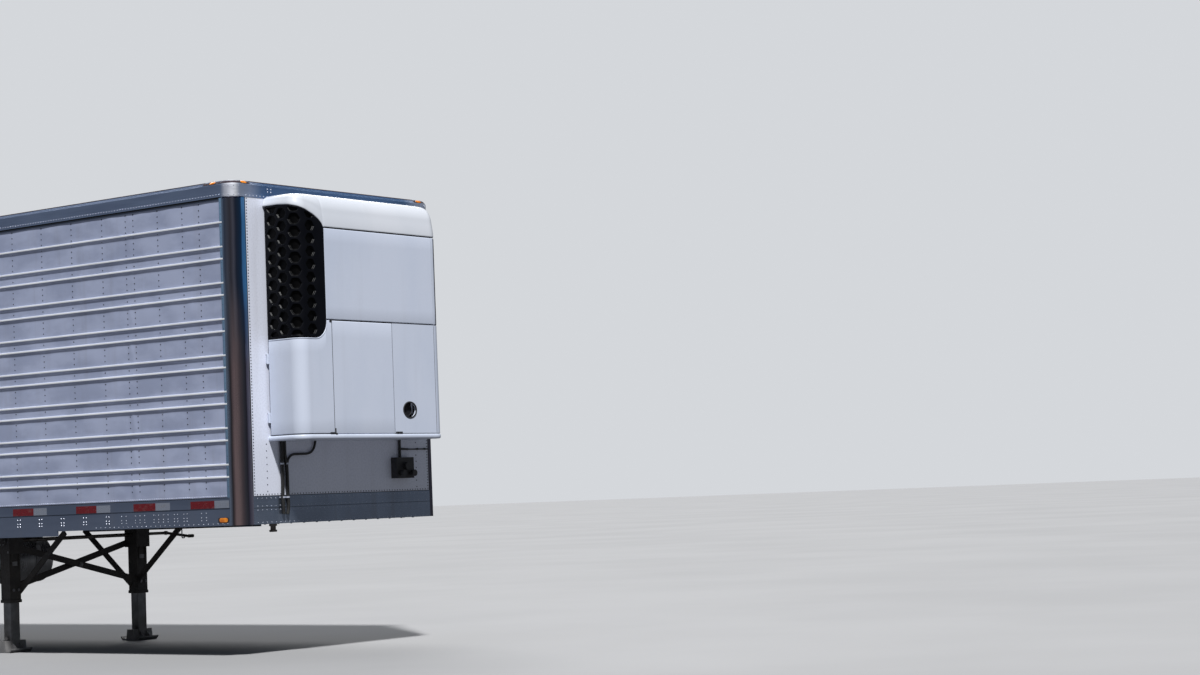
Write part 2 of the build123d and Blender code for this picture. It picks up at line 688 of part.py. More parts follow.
# Rear frame: a portal round the doors with a stop lip, and the hinge butts on its posts
HEADER_BOTTOM = 3990
LIP = 30
LIP_DEEP = 16
with BuildPart() as rear_frame:
    with BuildSketch(Plane.YZ.offset(REAR)):
        with BuildLine():
            Polyline(
                (-HALF, RAIL_BOTTOM), (HALF, RAIL_BOTTOM), (HALF, EDGE_TOP - EDGE_BEVEL),
                (HALF - EDGE_BEVEL, EDGE_TOP), (-HALF + EDGE_BEVEL, EDGE_TOP),
                (-HALF, EDGE_TOP - EDGE_BEVEL), close=True,
            )
        make_face()
        with Locations((0, (FLOOR_TOP + HEADER_BOTTOM) / 2)):
            Rectangle(2 * DOOR_OPENING, HEADER_BOTTOM - FLOOR_TOP, mode=Mode.SUBTRACT)
    extrude(amount=REAR_FRAME)
    with BuildSketch(Plane.YZ.offset(FRAME_FRONT - LIP_DEEP)):
        with Locations((0, (FLOOR_TOP + HEADER_BOTTOM) / 2)):
            Rectangle(2 * DOOR_OPENING, HEADER_BOTTOM - FLOOR_TOP)
        with Locations((0, (FLOOR_TOP + HEADER_BOTTOM - LIP) / 2)):
            Rectangle(2 * (DOOR_OPENING - LIP), HEADER_BOTTOM - LIP - FLOOR_TOP, mode=Mode.SUBTRACT)
    extrude(amount=LIP_DEEP)
save(rear_frame.part, "rear_frame")

PIN_X = REAR - PIN_BACK
PIN_Y = HALF - 14.5
HINGES = (1560, 2120, 2680, 3240, 3800)
KNUCKLE_HALF = 30
CHEEK_FROM = 36
CHEEK_TO = 48
with BuildPart() as butts:
    for side in SIDES.values():
        for z in HINGES:
            for low, high in ((z + CHEEK_FROM, z + CHEEK_TO), (z - CHEEK_TO, z - CHEEK_FROM)):
                with BuildSketch(Plane.XY.offset(low)):
                    with BuildLine():
                        Polyline(
                            (REAR, side * (PIN_Y + 14)), (PIN_X, side * (PIN_Y + 14)),
                            (PIN_X - 12, side * (PIN_Y + 6)), (PIN_X - 12, side * (PIN_Y - 6)),
                            (PIN_X, side * (PIN_Y - 14)), (REAR, side * (PIN_Y - 50)),
                            close=True,
                        )
                    make_face()
                extrude(amount=high - low)
            with Locations((PIN_X, side * PIN_Y, z)):
                Cylinder(PIN_R, 2 * CHEEK_TO)
save(butts.part, "hinge_butts")

# Rear doors and their hardware: hinge straps, lock rods in guides, end cams and handles
DOOR_LOW = FLOOR_TOP + DOOR_GAP
DOOR_HIGH = HEADER_BOTTOM - DOOR_GAP
DOOR_EDGE = DOOR_OPENING - DOOR_GAP
DOOR_MEET = 10
ROD_R = 13.5
ROD_OFF = 20
ROD_YS = (300, 850)
ROD_LOW = 1262
ROD_HIGH = 4060
HANDLE_Z = (1960, 2160)
with BuildPart() as keepers:
    for side in SIDES.values():
        for y in ROD_YS:
            for z in (ROD_LOW + 28, ROD_HIGH - 28):
                for way in (-1, 1):
                    y_in = side * y + way * (ROD_R + 8)
                    block((REAR - 34, REAR), (y_in, y_in + way * 12), (z - 24, z + 24))
save(keepers.part, "rod_keepers")

for name, side in SIDES.items():
    with BuildPart() as door:
        block((REAR, REAR + DOOR_THICK), (side * DOOR_MEET, side * DOOR_EDGE), (DOOR_LOW, DOOR_HIGH))
    save(door.part, f"rear_door_{name}")
    with BuildPart() as hardware:
        for z in HINGES:
            with BuildSketch(Plane.XY.offset(z - KNUCKLE_HALF)):
                with BuildLine():
                    Polyline(
                        (PIN_X + 60, side * (PIN_Y - 112)), (PIN_X + 60, side * (PIN_Y - 330)),
                        (PIN_X + 46, side * (PIN_Y - 330)), (PIN_X + 36, side * (PIN_Y - 150)),
                        (PIN_X + 36, side * (PIN_Y - 62)), (PIN_X - 8, side * (PIN_Y - 11)),
                        (PIN_X + 11, side * (PIN_Y + 8)), (PIN_X + 48, side * (PIN_Y - 40)),
                        (PIN_X + 48, side * (PIN_Y - 112)),
                        close=True,
                    )
                make_face()
                with Locations((PIN_X, side * PIN_Y)):
                    Circle(BARREL_R)
                    Circle(PIN_R + RUNNING, mode=Mode.SUBTRACT)
            extrude(amount=2 * KNUCKLE_HALF)
        for y, handle_z in zip(ROD_YS, HANDLE_Z):
            rod_x = REAR - ROD_OFF
            rod((rod_x, side * y, ROD_LOW), (rod_x, side * y, ROD_HIGH), ROD_R)
            for z in (DOOR_LOW + 60, handle_z - 90, handle_z + 90, 2900, DOOR_HIGH - 60):
                block((REAR - 38, REAR), (side * y - 24, side * y + 24), (z - 20, z + 20))
            bar(
                (REAR - 28, side * y, handle_z), (REAR - 28, side * (y - 250), handle_z), 34, 14,
                (1, 0, 0),
            )
            block((REAR - 36, REAR), (side * (y - 230), side * (y - 180)), (handle_z - 28, handle_z + 28))
    save(hardware.part, f"door_hardware_{name}")

# Lamps: amber markers on the rails and on the bevel of the roof's edge, red ones at the rear
LENS_DRAFT = 20
BEVEL_Z = EDGE_TOP - EDGE_BEVEL / 2


def lens(place, along, outward, long, wide, thick):
    """A moulded lens seated on a face: a rounded pad that narrows towards its front."""
    with BuildSketch(Plane(origin=place, x_dir=along, z_dir=outward), mode=Mode.PRIVATE) as outline:
        RectangleRounded(long, wide, wide * 0.35)
    extrude(outline.sketch, amount=thick, taper=LENS_DRAFT)


with BuildPart() as markers:
    for side in SIDES.values():
        rail_face = side * (HALF - BAND_SET_IN)
        for station in (208, 8133):
            lens((back(station), rail_face, 1188), (1, 0, 0), (0, side, 0), 133, 41, BAND_SET_IN)
        bevel_y = side * (HALF - EDGE_BEVEL / 2)
        lens((back(240), bevel_y, BEVEL_Z), (1, 0, 0), (0, side, 1), 90, 32, 8)
        bevel_x = NOSE + HEADER_PROUD - EDGE_BEVEL / 2
        lens((bevel_x, side * 1134, BEVEL_Z), (0, 1, 0), (1, 0, 1), 90, 32, 8)
save(markers.part, "marker_lamps")

TAIL_YS = (700, 830, 960)
TAIL_Z = 1210
TAIL_R = 50
TOP_LAMPS = (-160, 0, 160, -1120, 1120)
with BuildPart() as tail_lamps:
    for side in SIDES.values():
        for y in TAIL_YS:
            with BuildSketch(Plane(origin=(REAR, side * y, TAIL_Z), z_dir=(-1, 0, 0))):
                Circle(TAIL_R)
            extrude(amount=12, taper=LENS_DRAFT)
    for y in TOP_LAMPS:
        lens((REAR, y, 4043), (0, 1, 0), (-1, 0, 0), 80, 26, 12)
save(tail_lamps.part, "tail_lamps")

# Refrigeration unit: panels cut from one rounded shell, a rounded cap, a tray and the inner frame
SEAM = 3
DOOR_SEAM = 6
CURB_SEAM_Y = -525
ROAD_SEAM_Y = 250
UNIT_BOTTOM = 1850
TRAY_TOP = 1892
PANEL_LOW = 1898
PANEL_SPLIT = 2881
UPPER_LOW = 2887
CAP_LOW = 3690
GRILLE_LOW = 2730
GRILLE_Y = -590
SIDE_GRILLE_LOW = 2750
SHELL = 22
DOOR_BACK = 28
CAP_R = 100


def unit_plan(grow, back_x):
    """Rounded outline of the unit seen from above, grown by the given amount."""
    front_x = NOSE + UNIT_DEPTH + grow
    half = UNIT_HALF + grow
    radius = UNIT_R + grow
    with BuildSketch(Plane.XY, mode=Mode.PRIVATE) as outline:
        with BuildLine():
            Line((back_x, -half), (front_x - radius, -half))
            RadiusArc((front_x - radius, -half), (front_x, -half + radius), -radius)
            Line((front_x, -half + radius), (front_x, half - radius))
            RadiusArc((front_x, half - radius), (front_x - radius, half), -radius)
            Polyline((front_x - radius, half), (back_x, half), (back_x, -half))
        make_face()
    return outline.sketch


def shell(low, high, back_x=NOSE + DOOR_BACK):
    """The rounded outer wall of the unit between two heights."""
    outer = unit_plan(0, back_x)
    inner = unit_plan(-SHELL, back_x)
    extrude(Pos(0, 0, low) * (outer - inner), amount=high - low)


def keep(points, corner=None, radius=0):
    """Keeps only what lies behind the given front view, one corner of it rounded."""
    with BuildSketch(Plane.YZ, mode=Mode.PRIVATE) as view:
        Polygon(*points, align=None)
        if radius:
            near = view.vertices().sort_by_distance((0, *corner))[0]
            fillet(near, radius)
    extrude(view.sketch, amount=NOSE + UNIT_DEPTH + 50, mode=Mode.INTERSECT)


with BuildPart() as tray:
    extrude(Pos(0, 0, UNIT_BOTTOM) * unit_plan(TRAY_LIP, NOSE), amount=TRAY_TOP - UNIT_BOTTOM)
save(tray.part, "unit_tray")

SWOOSH = ((-950, 3885), (-905, 3845), (-824, 3824), (-727, 3796), (-655, 3758), (-613, 3720))
with BuildPart() as cap:
    cap_back = NOSE + HEADER_PROUD
    extrude(Pos(0, 0, CAP_LOW) * unit_plan(0, cap_back), amount=UNIT_TOP - CAP_LOW)
    rim = cap.edges().group_by(Axis.Z)[-1].filter_by(lambda edge: edge.center().X > cap_back + 1)
    fillet(rim, CAP_R)
    with BuildSketch(Plane.YZ.offset(NOSE)):
        with BuildLine():
            Polyline((GRILLE_Y, CAP_LOW - 10), (-950, CAP_LOW - 10), SWOOSH[0])
            Spline(*SWOOSH, (GRILLE_Y, CAP_LOW - 10))
        make_face()
    extrude(amount=UNIT_DEPTH + 20, mode=Mode.SUBTRACT)
save(cap.part, "unit_cap")

# Honeycomb grilles: six sided cells in columns round the outline, every other column raised by half a cell
GRILLE_CORNER = 140
GRILLE_MARGIN = 12
BROW = ((-616, 3714), (-658, 3752), (-729, 3790), (-825, 3818), (-906, 3839), (-960, 3876))
CELL_PITCH = 112
CELL_HALF = 44.5
CELL_ROUND = 9
CELL_DEPTH = 18
CELL_ROWS = 10
CELL_COLUMNS = (120, 245, 370, 495)
CELL_FIRST = 2704
SIDE_CELL_COLUMNS = (95, 211)
SIDE_CELL_FIRST = 2852
SIDE_CELL_ROWS = 8
SIDE_PROUD = 8
SIDE_RUN = UNIT_DEPTH - UNIT_R - DOOR_BACK


def cell_column(place, outward, first, rows):
    """One column of cells, cut through whatever lies behind it."""
    plane = Plane(origin=(*place, 0), x_dir=(-outward[1], outward[0], 0), z_dir=(*outward, 0))
    with BuildSketch(plane, mode=Mode.PRIVATE) as outline:
        with Locations(*[(0, first + row * CELL_PITCH) for row in range(rows)]):
            RegularPolygon(CELL_HALF, 6, major_radius=False)
        fillet(outline.vertices(), CELL_ROUND)
    extrude(outline.sketch, amount=2 * SHELL, both=True)


with BuildPart() as curb_cells:
    for index, run in enumerate(CELL_COLUMNS):
        bend = min(max(run - SIDE_RUN, 0) / UNIT_R, pi / 2)
        past = max(run - SIDE_RUN - UNIT_R * pi / 2, 0)
        place = (
            NOSE + DOOR_BACK + min(run, SIDE_RUN) + UNIT_R * sin(bend),
            -UNIT_HALF + UNIT_R * (1 - cos(bend)) + past,
        )
        cell_column(place, (sin(bend), -cos(bend)), CELL_FIRST + index % 2 * CELL_PITCH / 2, CELL_ROWS)
    border = GRILLE_Y - SEAM - GRILLE_MARGIN
    keep(
        ((-1000, GRILLE_LOW + GRILLE_MARGIN), (border, GRILLE_LOW + GRILLE_MARGIN), (border, CAP_LOW - 22))
        + tuple((y - GRILLE_MARGIN / 2, z - GRILLE_MARGIN) for y, z in BROW[:-1])
        + ((-1000, BROW[-1][1] - 2 * GRILLE_MARGIN),),
        (border, GRILLE_LOW + GRILLE_MARGIN), GRILLE_CORNER - GRILLE_MARGIN,
    )
    extrude(
        Pos(0, 0, GRILLE_LOW) * unit_plan(-CELL_DEPTH, NOSE), amount=UNIT_TOP - GRILLE_LOW,
        mode=Mode.SUBTRACT,
    )

with BuildPart() as road_cells:
    side_face = UNIT_HALF + SIDE_PROUD
    for index, run in enumerate(SIDE_CELL_COLUMNS):
        place = (NOSE + run, side_face)
        cell_column(place, (0, 1), SIDE_CELL_FIRST - index % 2 * CELL_PITCH / 2, SIDE_CELL_ROWS)
    block(
        (NOSE, NOSE + UNIT_DEPTH), (0, side_face - CELL_DEPTH), (SIDE_GRILLE_LOW, UNIT_TOP),
        mode=Mode.SUBTRACT,
    )

with BuildPart() as grilles:
    shell(GRILLE_LOW, UNIT_TOP - CAP_R)
    keep(
        ((-960, GRILLE_LOW), (GRILLE_Y - SEAM, GRILLE_LOW), (GRILLE_Y - SEAM, CAP_LOW - 10)) + BROW,
        (GRILLE_Y, GRILLE_LOW), GRILLE_CORNER,
    )
    block(
        (NOSE + DOOR_BACK, NOSE + UNIT_DEPTH - UNIT_R - SEAM), (UNIT_HALF - SHELL, side_face),
        (SIDE_GRILLE_LOW, CAP_LOW - SEAM),
    )
    add(curb_cells.part, mode=Mode.SUBTRACT)
    add(road_cells.part, mode=Mode.SUBTRACT)
save(grilles.part, "unit_grilles")

with BuildPart() as upper_panel:
    shell(UPPER_LOW, CAP_LOW - SEAM)
    keep(((GRILLE_Y, UPPER_LOW), (960, UPPER_LOW), (960, CAP_LOW), (GRILLE_Y, CAP_LOW)))
    block(
        (NOSE, NOSE + UNIT_DEPTH - UNIT_R), (UNIT_HALF - 2 * SHELL, UNIT_HALF + 5),
        (UPPER_LOW - 5, CAP_LOW), mode=Mode.SUBTRACT,
    )
save(upper_panel.part, "unit_upper_panel")

CENTRE_LEFT = CURB_SEAM_Y + SEAM
CENTRE_RIGHT = ROAD_SEAM_Y - SEAM
with BuildPart() as centre_panel:
    block(
        (NOSE + UNIT_DEPTH - SHELL, NOSE + UNIT_DEPTH), (CENTRE_LEFT, CENTRE_RIGHT),
        (TRAY_TOP, PANEL_SPLIT),
    )
save(centre_panel.part, "unit_centre_panel")

HINGE_X = NOSE + 14
HINGE_Y = UNIT_HALF + 2
HINGE_R = 8
HINGE_PIN = 4
UNIT_HINGES = (2050, 2560)
with BuildPart() as chassis:
    block((NOSE, NOSE + 16), (-900, 900), (TRAY_TOP, CAP_LOW))
    extrude(Pos(0, 0, UPPER_LOW) * unit_plan(-SHELL, NOSE), amount=12)
    for y in (CENTRE_LEFT + 8, CENTRE_RIGHT - 48):
        block((NOSE + 16, NOSE + UNIT_DEPTH - SHELL), (y, y + 40), (UPPER_LOW - 40, UPPER_LOW))
        block(
            (NOSE + UNIT_DEPTH - SHELL - 40, NOSE + UNIT_DEPTH - SHELL), (y, y + 40),
            (TRAY_TOP, UPPER_LOW),
        )
    for side in SIDES.values():
        for z in UNIT_HINGES:
            for low, high in ((z - 44, z - 32), (z + 32, z + 44)):
                block((NOSE, NOSE + 20), (side * 890, side * (HINGE_Y + 6)), (low, high))
            rod((HINGE_X, side * HINGE_Y, z - 44), (HINGE_X, side * HINGE_Y, z + 44), HINGE_PIN)
save(chassis.part, "unit_chassis")

with BuildPart() as engine:
    block((NOSE + 60, NOSE + 330), (-400, 170), (TRAY_TOP, 2470))
save(engine.part, "unit_engine")


def unit_hinge_tabs(side):
    """Knuckles on the rear edge of a unit door."""
    for z in UNIT_HINGES:
        low = z - 26
        with BuildSketch(Plane.XY.offset(low), mode=Mode.PRIVATE) as knuckle:
            with Locations((HINGE_X, side * HINGE_Y)):
                Circle(HINGE_R)
            with Locations((HINGE_X + 13, side * (HINGE_Y - 5))):
                Rectangle(22, 10)
            with Locations((HINGE_X, side * HINGE_Y)):
                Circle(HINGE_PIN + RUNNING, mode=Mode.SUBTRACT)
        extrude(knuckle.sketch, amount=52)


with BuildPart() as door:
    shell(PANEL_LOW, PANEL_SPLIT)
    edge = CURB_SEAM_Y - SEAM
    keep(((-960, PANEL_LOW), (edge, PANEL_LOW), (edge, PANEL_SPLIT), (-960, PANEL_SPLIT)))
    with BuildSketch(Plane.YZ):
        with BuildLine():
            low = GRILLE_LOW - DOOR_SEAM
            Polyline((-960, 3000), (-960, low), (GRILLE_Y - GRILLE_CORNER, low))
            RadiusArc(
                (GRILLE_Y - GRILLE_CORNER, low), (GRILLE_Y + DOOR_SEAM, low + GRILLE_CORNER + DOOR_SEAM),
                -GRILLE_CORNER - DOOR_SEAM,
            )
            Polyline((GRILLE_Y + DOOR_SEAM, low + GRILLE_CORNER + DOOR_SEAM), (GRILLE_Y + DOOR_SEAM, 3000),
                     (-960, 3000))
        make_face()
    extrude(amount=NOSE + UNIT_DEPTH + 50, mode=Mode.SUBTRACT)
    unit_hinge_tabs(SIDES["curb"])
save(door.part, "unit_door_curb")

HOLE_Y = 456
HOLE_Z = 2107
with BuildPart() as door:
    shell(PANEL_LOW, PANEL_SPLIT)
    edge = ROAD_SEAM_Y + SEAM
    keep(((960, PANEL_LOW), (edge, PANEL_LOW), (edge, PANEL_SPLIT), (960, PANEL_SPLIT)))
    block(
        (NOSE, NOSE + UNIT_DEPTH - UNIT_R + SEAM), (UNIT_HALF - 2 * SHELL, UNIT_HALF + 5),
        (SIDE_GRILLE_LOW - DOOR_SEAM, PANEL_SPLIT + 5), mode=Mode.SUBTRACT,
    )
    with BuildSketch(Plane.YZ.offset(NOSE + UNIT_DEPTH - 2 * SHELL)):
        with Locations((HOLE_Y, HOLE_Z)):
            Ellipse(86, 70)
    extrude(amount=3 * SHELL, mode=Mode.SUBTRACT)
    unit_hinge_tabs(SIDES["road"])
save(door.part, "unit_door_road")

# Drain hoses and lines under the unit, and the connector box on the wall
HOSE_R = 10
HOSE_X = NOSE + 20
HOSE_END = 1215
with BuildPart() as hoses:
    with BuildLine() as first_route:
        Line((HOSE_X, -800, HOSE_END), (HOSE_X, -800, UNIT_BOTTOM))
    with BuildSketch(Plane(origin=(HOSE_X, -800, HOSE_END), z_dir=(0, 0, 1))):
        Circle(HOSE_R)
    sweep(path=first_route.line)
    with BuildLine() as second_route:
        FilletPolyline(
            (HOSE_X, -735, HOSE_END), (HOSE_X, -735, 1745), (HOSE_X, -390, 1745),
            (HOSE_X, -390, UNIT_BOTTOM), radius=45,
        )
    with BuildSketch(Plane(origin=(HOSE_X, -735, HOSE_END), z_dir=(0, 0, 1))):
        Circle(HOSE_R)
    sweep(path=second_route.line)
    for z in (1300, 1600):
        face = NOSE + KICK_PROUD if z < KICK_TOP else NOSE
        block((face, NOSE + 33), (-816, -719), (z - 8, z + 8))
save(hoses.part, "unit_hoses")

BOX_YS = (620, 850)
BOX_ZS = (1500, 1690)
with BuildPart() as connectors:
    block((NOSE, NOSE + 75), BOX_YS, BOX_ZS)
    rod((NOSE + 20, 725, BOX_ZS[1]), (NOSE + 20, 725, UNIT_BOTTOM), 11)
    rod((NOSE + 8, 725, 1765), (NOSE + 8, 1136, 1765), 6)
    rod((NOSE + 75, 735, 1610), (NOSE + 112, 735, 1610), 36)
    for y in (665, 805):
        rod((NOSE + 75, y, 1545), (NOSE + 100, y, 1545), 14)
        rod((NOSE + 96, y, 1545), (NOSE + 128, y, 1545), 30)
save(connectors.part, "nose_connectors")

# Fuel tank of the unit, slung crosswise behind the landing gear on two strap hangers
FUEL_STATION = 4800
FUEL_Z = 850
FUEL_R = 235
FUEL_HALF = 500
with BuildPart() as fuel_tank:
    x = back(FUEL_STATION)
    rod((x, -FUEL_HALF, FUEL_Z), (x, FUEL_HALF, FUEL_Z), FUEL_R)
    fillet(fuel_tank.edges().filter_by(GeomType.CIRCLE), 35)
    rod((x + 100, -400, FUEL_Z + 190), (x + 140, -400, FUEL_Z + 262), 28)
save(fuel_tank.part, "fuel_tank")

with BuildPart() as fuel_straps:
    for side in SIDES.values():
        y = side * 290
        rod((x, y - 28, FUEL_Z), (x, y + 28, FUEL_Z), FUEL_R + 7)
        for way in (-1, 1):
            block(
                (x + way * (FUEL_R - 3), x + way * (FUEL_R + 7)), (y - 28, y + 28),
                (FUEL_Z, BEAM_BOTTOM),
            )
            block(
                (x + way * (FUEL_R - 3), x + way * (FUEL_R + 130)), (y - 28, y + 28),
                (BEAM_BOTTOM - 10, BEAM_BOTTOM),
            )
    with Locations((x, 0, FUEL_Z)):
        Cylinder(FUEL_R + 0.5, 2 * FUEL_HALF, rotation=(90, 0, 0), mode=Mode.SUBTRACT)
save(fuel_straps.part, "fuel_tank_straps")
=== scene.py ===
"""Refrigerated box semi trailer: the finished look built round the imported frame."""
from itertools import product
from math import cos, pi, radians, sin

import bmesh
import bpy
import numpy as np
from bpy.props import FloatProperty, PointerProperty
from mathutils import Matrix, Vector


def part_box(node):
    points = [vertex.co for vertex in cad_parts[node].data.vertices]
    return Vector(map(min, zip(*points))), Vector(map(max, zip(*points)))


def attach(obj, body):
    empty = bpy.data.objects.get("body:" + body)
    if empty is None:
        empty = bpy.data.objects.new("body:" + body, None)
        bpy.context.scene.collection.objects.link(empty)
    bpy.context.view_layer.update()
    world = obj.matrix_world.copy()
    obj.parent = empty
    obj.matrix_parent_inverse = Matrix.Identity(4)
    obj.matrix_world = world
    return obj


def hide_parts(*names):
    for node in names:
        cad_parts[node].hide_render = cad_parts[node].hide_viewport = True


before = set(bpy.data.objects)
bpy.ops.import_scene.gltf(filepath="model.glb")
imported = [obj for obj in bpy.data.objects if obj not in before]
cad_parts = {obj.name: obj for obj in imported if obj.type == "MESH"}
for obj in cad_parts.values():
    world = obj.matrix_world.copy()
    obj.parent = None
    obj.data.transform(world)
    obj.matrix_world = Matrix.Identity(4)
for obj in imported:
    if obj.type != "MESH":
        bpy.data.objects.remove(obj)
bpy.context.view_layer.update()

bl_info = {
    "name": "Refrigerated Semi Trailer",
    "version": (1, 0, 0),
    "blender": (4, 5, 0),
    "location": "View3D > Sidebar > Trailer",
    "description": "Builds the sheets, fittings, wheels and finishes of a refrigerated semi trailer",
    "category": "Object",
}

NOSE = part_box("front_wall")[1][0]
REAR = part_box("rear_frame")[0][0]
HALF = 1.2955
SKIN = 1.281
BAND = 1.2915
SIDES = {"curb": -1, "road": 1}
AXLES = {"front": NOSE - 12.905, "rear": NOSE - 14.15}
AXLE_Z = 0.514
BOW_PITCH = 0.61

# Surfaces


def grid_quads(rows, cols, wrap):
    """Quads between neighbouring points of a grid, closed across its columns when wrap is set."""
    r = np.arange(rows - 1)[:, None]
    c = np.arange(cols if wrap else cols - 1)[None, :]
    n = (c + 1) % cols
    corners = np.broadcast_arrays(r * cols + c, r * cols + n, (r + 1) * cols + n, (r + 1) * cols + c)
    return np.stack(corners, axis=-1).reshape(-1, 4)


def surface(points, wrap=False):
    """A mesh from a grid of points, one row after another."""
    return points.reshape(-1, 3), grid_quads(points.shape[0], points.shape[1], wrap)


def looped(points):
    """A mesh from a grid of points that closes on itself both ways."""
    return surface(np.concatenate([points, points[:1]]), wrap=True)


def capped(rings):
    """A closed mesh from a stack of rings: each end ring is gathered to its own middle."""
    low = np.repeat(rings[:1].mean(axis=1, keepdims=True), rings.shape[1], axis=1)
    high = np.repeat(rings[-1:].mean(axis=1, keepdims=True), rings.shape[1], axis=1)
    return surface(np.concatenate([low, rings, high]), wrap=True)


def joined(meshes):
    """Several meshes as one: the points are stacked and each mesh's quads moved on to its own."""
    points, quads, start = [], [], 0
    for p, q in meshes:
        points.append(p)
        quads.append(q + start)
        start += len(p)
    return np.concatenate(points), np.concatenate(quads)


def copies(mesh, places, frames=None):
    """One mesh repeated at each place, turned there by its frame of three column vectors."""
    points, quads = mesh
    places = np.asarray(places, float).reshape(-1, 3)
    if frames is None:
        all_points = points[None] + places[:, None]
    else:
        all_points = np.einsum("kij,nj->kni", np.broadcast_to(frames, (len(places), 3, 3)), points)
        all_points = all_points + places[:, None]
    offsets = (np.arange(len(places)) * len(points))[:, None, None]
    return all_points.reshape(-1, 3), (quads[None] + offsets).reshape(-1, 4)


def lathe(profile, sides, axis=2):
    """A closed profile of (radius, height) pairs carried round an axis: radius turns, height stays."""
    profile = np.asarray(profile, float)
    angle = np.linspace(0, 2 * pi, sides, endpoint=False)
    radius, height = profile[:, 0][:, None], profile[:, 1][:, None]
    parts = [radius * np.cos(angle), radius * np.sin(angle), height + 0 * angle]
    order = {2: (0, 1, 2), 1: (0, 2, 1), 0: (2, 0, 1)}[axis]
    return surface(np.stack([parts[i] for i in order], axis=-1), wrap=True)


def tube(path, radius, sides=8):
    """A round tube: at each point of the path, a ring square to it; rings turn as little as they can."""
    path = np.asarray(path, float)
    tangent = np.gradient(path, axis=0)
    tangent /= np.linalg.norm(tangent, axis=1, keepdims=True)
    helper = np.eye(3)[np.argmin(np.abs(tangent).max(axis=0))]
    side = np.cross(tangent, helper)
    side /= np.linalg.norm(side, axis=1, keepdims=True)
    up = np.cross(tangent, side)
    angle = np.linspace(0, 2 * pi, sides, endpoint=False)[None, :, None]
    radius = np.broadcast_to(np.asarray(radius, float).reshape(-1, 1, 1), (len(path), 1, 1))
    rings = path[:, None] + radius * (side[:, None] * np.cos(angle) + up[:, None] * np.sin(angle))
    return capped(rings)


def smooth_path(corners, radius, steps=6):
    """Straight runs through the corners with each bend rounded: a curve blended between its tangents."""
    corners = np.asarray(corners, float)
    path = [corners[:1]]
    blend = np.linspace(0, 1, steps)[:, None]
    for before, here, after in zip(corners[:-2], corners[1:-1], corners[2:]):
        start = here + (before - here) / np.linalg.norm(before - here) * radius
        end = here + (after - here) / np.linalg.norm(after - here) * radius
        path.append((1 - blend) ** 2 * start + 2 * blend * (1 - blend) * here + blend ** 2 * end)
    path.append(corners[-1:])
    return np.concatenate(path)


def rounded_outline(width, height, radius, steps=3):
    """A rectangle with rounded corners, as points counted round it."""
    radius = min(radius, width / 2 * 0.999, height / 2 * 0.999)
    points = []
    for k, (sx, sy) in enumerate(((1, 1), (-1, 1), (-1, -1), (1, -1))):
        angle = np.linspace(0, pi / 2, steps) + k * pi / 2
        middle = np.array([sx * (width / 2 - radius), sy * (height / 2 - radius)])
        points.append(middle + radius * np.stack([np.cos(angle), np.sin(angle)], axis=-1))
    return np.concatenate(points)


def pad(outline, low, high, bevel):
    """A closed slab over an outline: its rings step in by the bevel at both faces."""
    outline = np.asarray(outline, float)
    middle = outline.mean(axis=0)
    reach = np.linalg.norm(outline - middle, axis=1, keepdims=True)
    inner = middle + (outline - middle) * np.maximum(0.05, 1 - 1.2 * bevel / reach)
    rings = [(inner, low), (outline, low + bevel), (outline, high - bevel), (inner, high)]
    stack = [np.column_stack([ring, np.full(len(ring), height)]) for ring, height in rings]
    return capped(np.stack(stack))


AXES = {"x": (1, 2, 0), "y": (2, 0, 1), "z": (0, 1, 2)}


def turned(mesh, axis):
    """A mesh made along Z laid along another axis by moving its coordinates round."""
    points, quads = mesh
    order = AXES[axis]
    out = np.empty_like(points)
    out[:, order[0]], out[:, order[1]], out[:, order[2]] = points[:, 0], points[:, 1], points[:, 2]
    return out, quads


def block(low, high, bevel=0.003, axis="z", steps=2):
    """A box with softened edges between two corners, its rounded corners round the given axis."""
    low, high = np.minimum(low, high).astype(float), np.maximum(low, high).astype(float)
    a, b, c = AXES[axis]
    size = high - low
    outline = rounded_outline(size[a], size[b], bevel, steps)
    points, quads = turned(pad(outline, -size[c] / 2, size[c] / 2, bevel), axis)
    return points + (low + high) / 2, quads


def dome(radius, height, sides=6):
    """A rivet head: a ring, a smaller raised ring and a top, standing on Z = 0."""
    return lathe([(radius, -0.001), (radius, 0), (radius * 0.72, height * 0.75), (0, height)], sides)


def bolt(radius, height, washer=0.0):
    """A six sided head on a washer, with its edge taken off."""
    profile = [(0, 0), (radius * 1.5, 0), (radius * 1.5, washer), (radius, washer)]
    profile += [(radius, height * 0.85), (radius * 0.88, height), (0, height)]
    return lathe(profile if washer else [profile[0], (radius, 0)] + profile[4:], 6)


def facing(normal):
    """A frame whose third column is the normal, for fittings made along Z."""
    n = Vector(normal).normalized()
    return np.array(n.to_track_quat("Z", "Y").to_matrix())


def rivets(places, normal, radius=0.005, height=0.0022, sides=6):
    """Rivet heads on a face that looks along the normal."""
    return copies(dome(radius, height, sides), places, facing(normal))


def grid_places(*axes):
    """Every combination of the given coordinates, as rows of X, Y and Z."""
    mesh = np.meshgrid(*[np.atleast_1d(a).astype(float) for a in axes], indexing="ij")
    return np.stack(mesh, axis=-1).reshape(-1, 3)


def link(name, data):
    """A scene object made of the data."""
    made = bpy.data.objects.new(name, data)
    bpy.context.scene.collection.objects.link(made)
    return made


